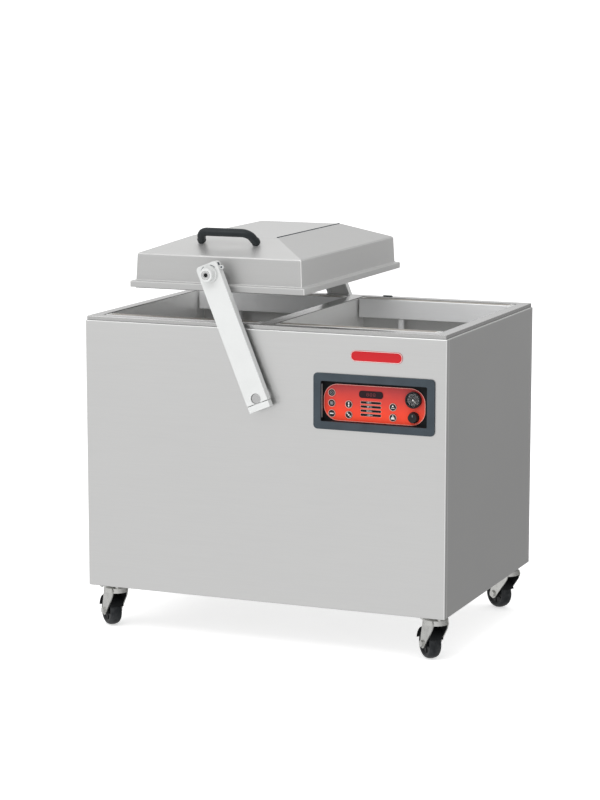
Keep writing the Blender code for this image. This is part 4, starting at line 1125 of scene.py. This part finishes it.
def make_key(key):
    """A domed key cap with a pale rim and a generic sign."""
    radius, depth, place = seated(key)
    body = key + "_cap"
    profile = [(0, 0.0), (radius, 0.0), (radius, depth - 0.0004), (radius - 0.0004, depth)]
    profile += [(radius * share, depth + KEY_DOME * (1 - share * share)) for share in (0.8, 0.5, 0.25)]
    bm = bmesh.new()
    turned(bm, profile + [(0, depth + KEY_DOME)], 48, place)
    add_piece(key + "_dome", bm, BLACK, body, [key])
    bm = bmesh.new()
    outer, inner = circle(radius - 0.0001, 48), circle(radius - 0.001, 48)
    ring_prism(bm, outer, inner, depth - 0.0001, depth + 0.0001, place)
    add_piece(key + "_rim", bm, BORDER_INK, body)
    bm = bmesh.new()
    top = place @ facing_up(0, 0, depth + KEY_DOME)
    for shape in SIGNS[key]:
        if isinstance(shape, tuple):
            ring_prism(bm, *shape, 0.0, LAYER, top)
        else:
            prism(bm, shape, 0.0, LAYER, top)
    ink = GREY_INK if key in ("left_key_1", "left_key_2") else PALE_INK
    add_piece(key + "_sign", bm, ink, body)


def make_badge():
    """The plain red badge with a pale edge. It carries no name."""
    refined("name_badge", BADGE, 0.0004)
    half = size_of("name_badge").z / 2
    edges = ((0.0014, half - 0.0009), (0.0034, half - 0.0019))
    edge_line("badge_border", "name_badge", edges, 12, PALE_INK)


# ---- casters

WHEEL_HALF = 0.016
CHEEK_INNER = 0.0176
CHEEK_OUTER = 0.0184
CHEEK_TOP = 0.055
CHEEK_BACK = 0.026
CHEEK_EYE = 0.0112
HOOD_OUTER = 0.0412
HOOD_INNER = 0.0396
HOOD_SPAN = (10, 158)
SPOKES = 6
SPOKE_RISE = 0.0024
BOLT_X = 0.022
BOLT_Y = 0.036
PLATE_SHEET = 0.003


def make_casters():
    for corner in CORNERS:
        refined(corner + "_caster_plate", ZINC, 0.0004)
        refined(corner + "_caster_fork", ZINC, 0.0005)
        make_wheel(corner)
        make_fork_shade(corner)
        make_plate_bolts(corner)


def make_fork_shade(corner):
    """Painted shade in a fork: a black cheek inside each leg and a black hood over the wheel, standing for the
    fork's shaded inside.
    """
    axle = middle_of(corner + "_caster_wheel")
    swivel = Vector(JOINTS[corner + "_swivel_turn"]["pos_m"])
    trail = Vector((axle.x - swivel.x, axle.y - swivel.y, 0))
    place = Matrix.Translation(axle) @ spin(math.atan2(trail.y, trail.x), "Z") @ spin(QUARTER, "X")
    back = -trail.length - CHEEK_BACK
    cheek = arc(CHEEK_EYE, 215, 380, 10)
    cheek += [(-0.003, CHEEK_TOP), (back, CHEEK_TOP), (back + 0.004, CHEEK_TOP - 0.01)]
    bm = bmesh.new()
    for side in (-1, 1):
        prism(bm, cheek, side * CHEEK_INNER, side * CHEEK_OUTER, place)
    start, end = HOOD_SPAN
    hood = arc(HOOD_OUTER, start, end, 24) + arc(HOOD_INNER, end, start, 24)
    prism(bm, hood, -CHEEK_INNER, CHEEK_INNER, place)
    add_piece(corner + "_fork_shade_sheet", bm, DARK, BODY_OF[corner + "_caster_fork"])


def make_wheel(corner):
    """A crowned rubber tyre on a dished hub with short spokes."""
    node = corner + "_caster_wheel"
    radius, half = size_of(node).z / 2, WHEEL_HALF
    axis = Vector(JOINTS[corner + "_wheel_roll"]["axis"])
    place = Matrix.Translation(middle_of(node)) @ tilt_to(axis)
    tyre = [(0.027, half - 0.0014), (0.029, half - 0.0006), (0.0325, half - 0.0012)]
    tyre += [(0.035, half - 0.0034), (0.0368, half - 0.0068), (radius - 0.0003, 0.0045), (radius, 0.0)]
    tyre += [(across, -up) for across, up in reversed(tyre[:-1])]
    bm = bmesh.new()
    turned(bm, [(0.0262, half - 0.003)] + tyre + [(0.0262, -half + 0.003)], 72, place, closed=True)
    body = corner + "_wheel"
    add_piece(corner + "_tyre", bm, TYRE, body, [node])
    hub = [(0.0055, half + 0.0009), (0.011, half + 0.0009), (0.0122, half - 0.0002)]
    hub += [(0.0126, half - 0.0036), (0.015, half - 0.0046), (0.0232, half - 0.0046)]
    hub += [(0.0246, half - 0.0026), (0.0264, half - 0.0022)]
    hub += [(across, -up) for across, up in reversed(hub)]
    bm = bmesh.new()
    turned(bm, hub, 56, place, closed=True)
    spoke = rounded((0.011, 0.0024), 0.0008, 3, (0.0182, 0))
    base = half - 0.005
    for side in (-1, 1):
        for step in range(SPOKES):
            turned_on = place @ spin(2 * math.pi * step / SPOKES, "Z")
            prism(bm, spoke, side * base, side * (base + SPOKE_RISE), turned_on)
    add_piece(corner + "_hub", bm, BLACK, body)


def make_plate_bolts(corner):
    """The hexagon bolts and washers under each top plate."""
    plate = corner + "_caster_plate"
    middle, flat = middle_of(plate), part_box(plate)[1].z - PLATE_SHEET
    bm = bmesh.new()
    for x in (-BOLT_X, BOLT_X):
        for y in (-BOLT_Y, BOLT_Y):
            place = facing_up(middle.x + x, middle.y + y, flat) @ spin(math.pi, "X")
            turned(bm, [(0, 0.001), (0.0072, 0.001), (0.0076, 0.0006), (0.0076, 0.0)], 28, place)
            prism(bm, circle(0.006, 6), 0.001, 0.0046, place)
            turned(bm, [(0, 0.007), (0.0028, 0.007), (0.0032, 0.0064), (0.0032, 0.001)], 20, place)
    add_piece(corner + "_plate_bolts", bm, ZINC)


# ---- machinery inside


def make_machinery():
    refined("vacuum_pump", CAST, 0.0015)
    refined("pump_motor", PUMP_PAINT, 0.0012)
    refined("exhaust_filter", PUMP_PAINT)
    refined("vacuum_manifold", ZINC)
    refined("seal_transformer", CAST, 0.0012)
    refined("control_board", BOARD)
    refined("power_inlet", BLACK, 0.0006)


# ---- studio


def add_camera():
    azimuth, elevation = math.radians(CAMERA_AZIMUTH), math.radians(CAMERA_ELEVATION)
    outward = Vector((
        math.sin(azimuth) * math.cos(elevation),
        -math.cos(azimuth) * math.cos(elevation),
        math.sin(elevation),
    ))
    data = bpy.data.cameras.new("camera")
    data.lens = CAMERA_LENS
    data.clip_end = 2 * FLOOR_RADIUS
    camera = add_object("camera", data)
    camera.location = Vector(CAMERA_AIM) + outward * CAMERA_DISTANCE
    camera.rotation_euler = outward.to_track_quat("Z", "Y").to_euler()
    bpy.context.scene.camera = camera


BRIGHT_SIDE = (-0.5, -0.86, 0.0)
SKY_BRIGHT = 0.9
SKY_DARK = 0.33


def add_world():
    """A soft white studio: bright above and at the front left, greyer low down at the back right."""
    world = bpy.data.worlds.new("studio")
    bpy.context.scene.world = world
    world.use_nodes = True
    tree = world.node_tree
    direction = coordinate(tree, "Generated")
    both = {0: direction, 1: BRIGHT_SIDE}
    toward = add_node(tree, "ShaderNodeVectorMath", both, operation="DOT_PRODUCT").outputs["Value"]
    front = remap(tree, toward, -0.9, 0.55)
    axes = axes_of(tree, direction)
    above = remap(tree, axes[2], -0.1, 0.22)
    leftward = remap(tree, axes[0], -0.4, 0.5, 1.0, 0.62)
    lit = math_node(tree, "MAXIMUM", front, math_node(tree, "MULTIPLY", above, leftward))
    level = remap(tree, lit, 0.0, 1.0, SKY_DARK, SKY_BRIGHT)
    background = tree.nodes["Background"]
    set_input(tree, background, "Strength", level)
    set_input(tree, background, "Color", (1.0, 1.0, 1.0, 1.0))


def add_area_light(name, location, aim, size, power):
    data = bpy.data.lights.new(name, "AREA")
    data.shape = "RECTANGLE"
    data.size, data.size_y = size
    data.energy = power
    light = add_object(name, data)
    light.location = location
    light.rotation_euler = (Vector(location) - Vector(aim)).to_track_quat("Z", "Y").to_euler()


def add_lights():
    add_area_light("key", (-3.4, -4.6, 3.6), (0, 0, 0.6), (2.4, 2.4), 30.0)
    add_area_light("top", (0.4, 0.6, 4.4), (0, 0, 0.8), (3.0, 3.0), 30.0)
    add_area_light("fill", (-0.2, -4.0, 4.5), (0, 0, 0.8), (3.0, 2.0), 80.0)


def add_floor():
    """A wide pale floor disc. It leaves mirror reflections to the studio's own gradient."""
    bm = bmesh.new()
    turned(bm, [(0, 0.0), (FLOOR_RADIUS, 0.0)], 96, facing_up(0, 0, -FLOOR_GAP))
    mesh = bpy.data.meshes.new("floor")
    bm.to_mesh(mesh)
    bm.free()
    mesh.materials.append(studio_floor("studio_floor"))
    floor = add_object("floor", mesh)
    floor.visible_glossy = False


def main():
    bpy.context.scene.view_settings.view_transform = "Standard"
    add_camera()
    add_world()
    add_lights()
    add_floor()
    make_cabinet()
    make_back_screws()
    make_port_grilles()
    make_rim_stop()
    make_seal_bars()
    make_arms()
    make_lid()
    make_control_panel()
    make_casters()
    make_machinery()


main()
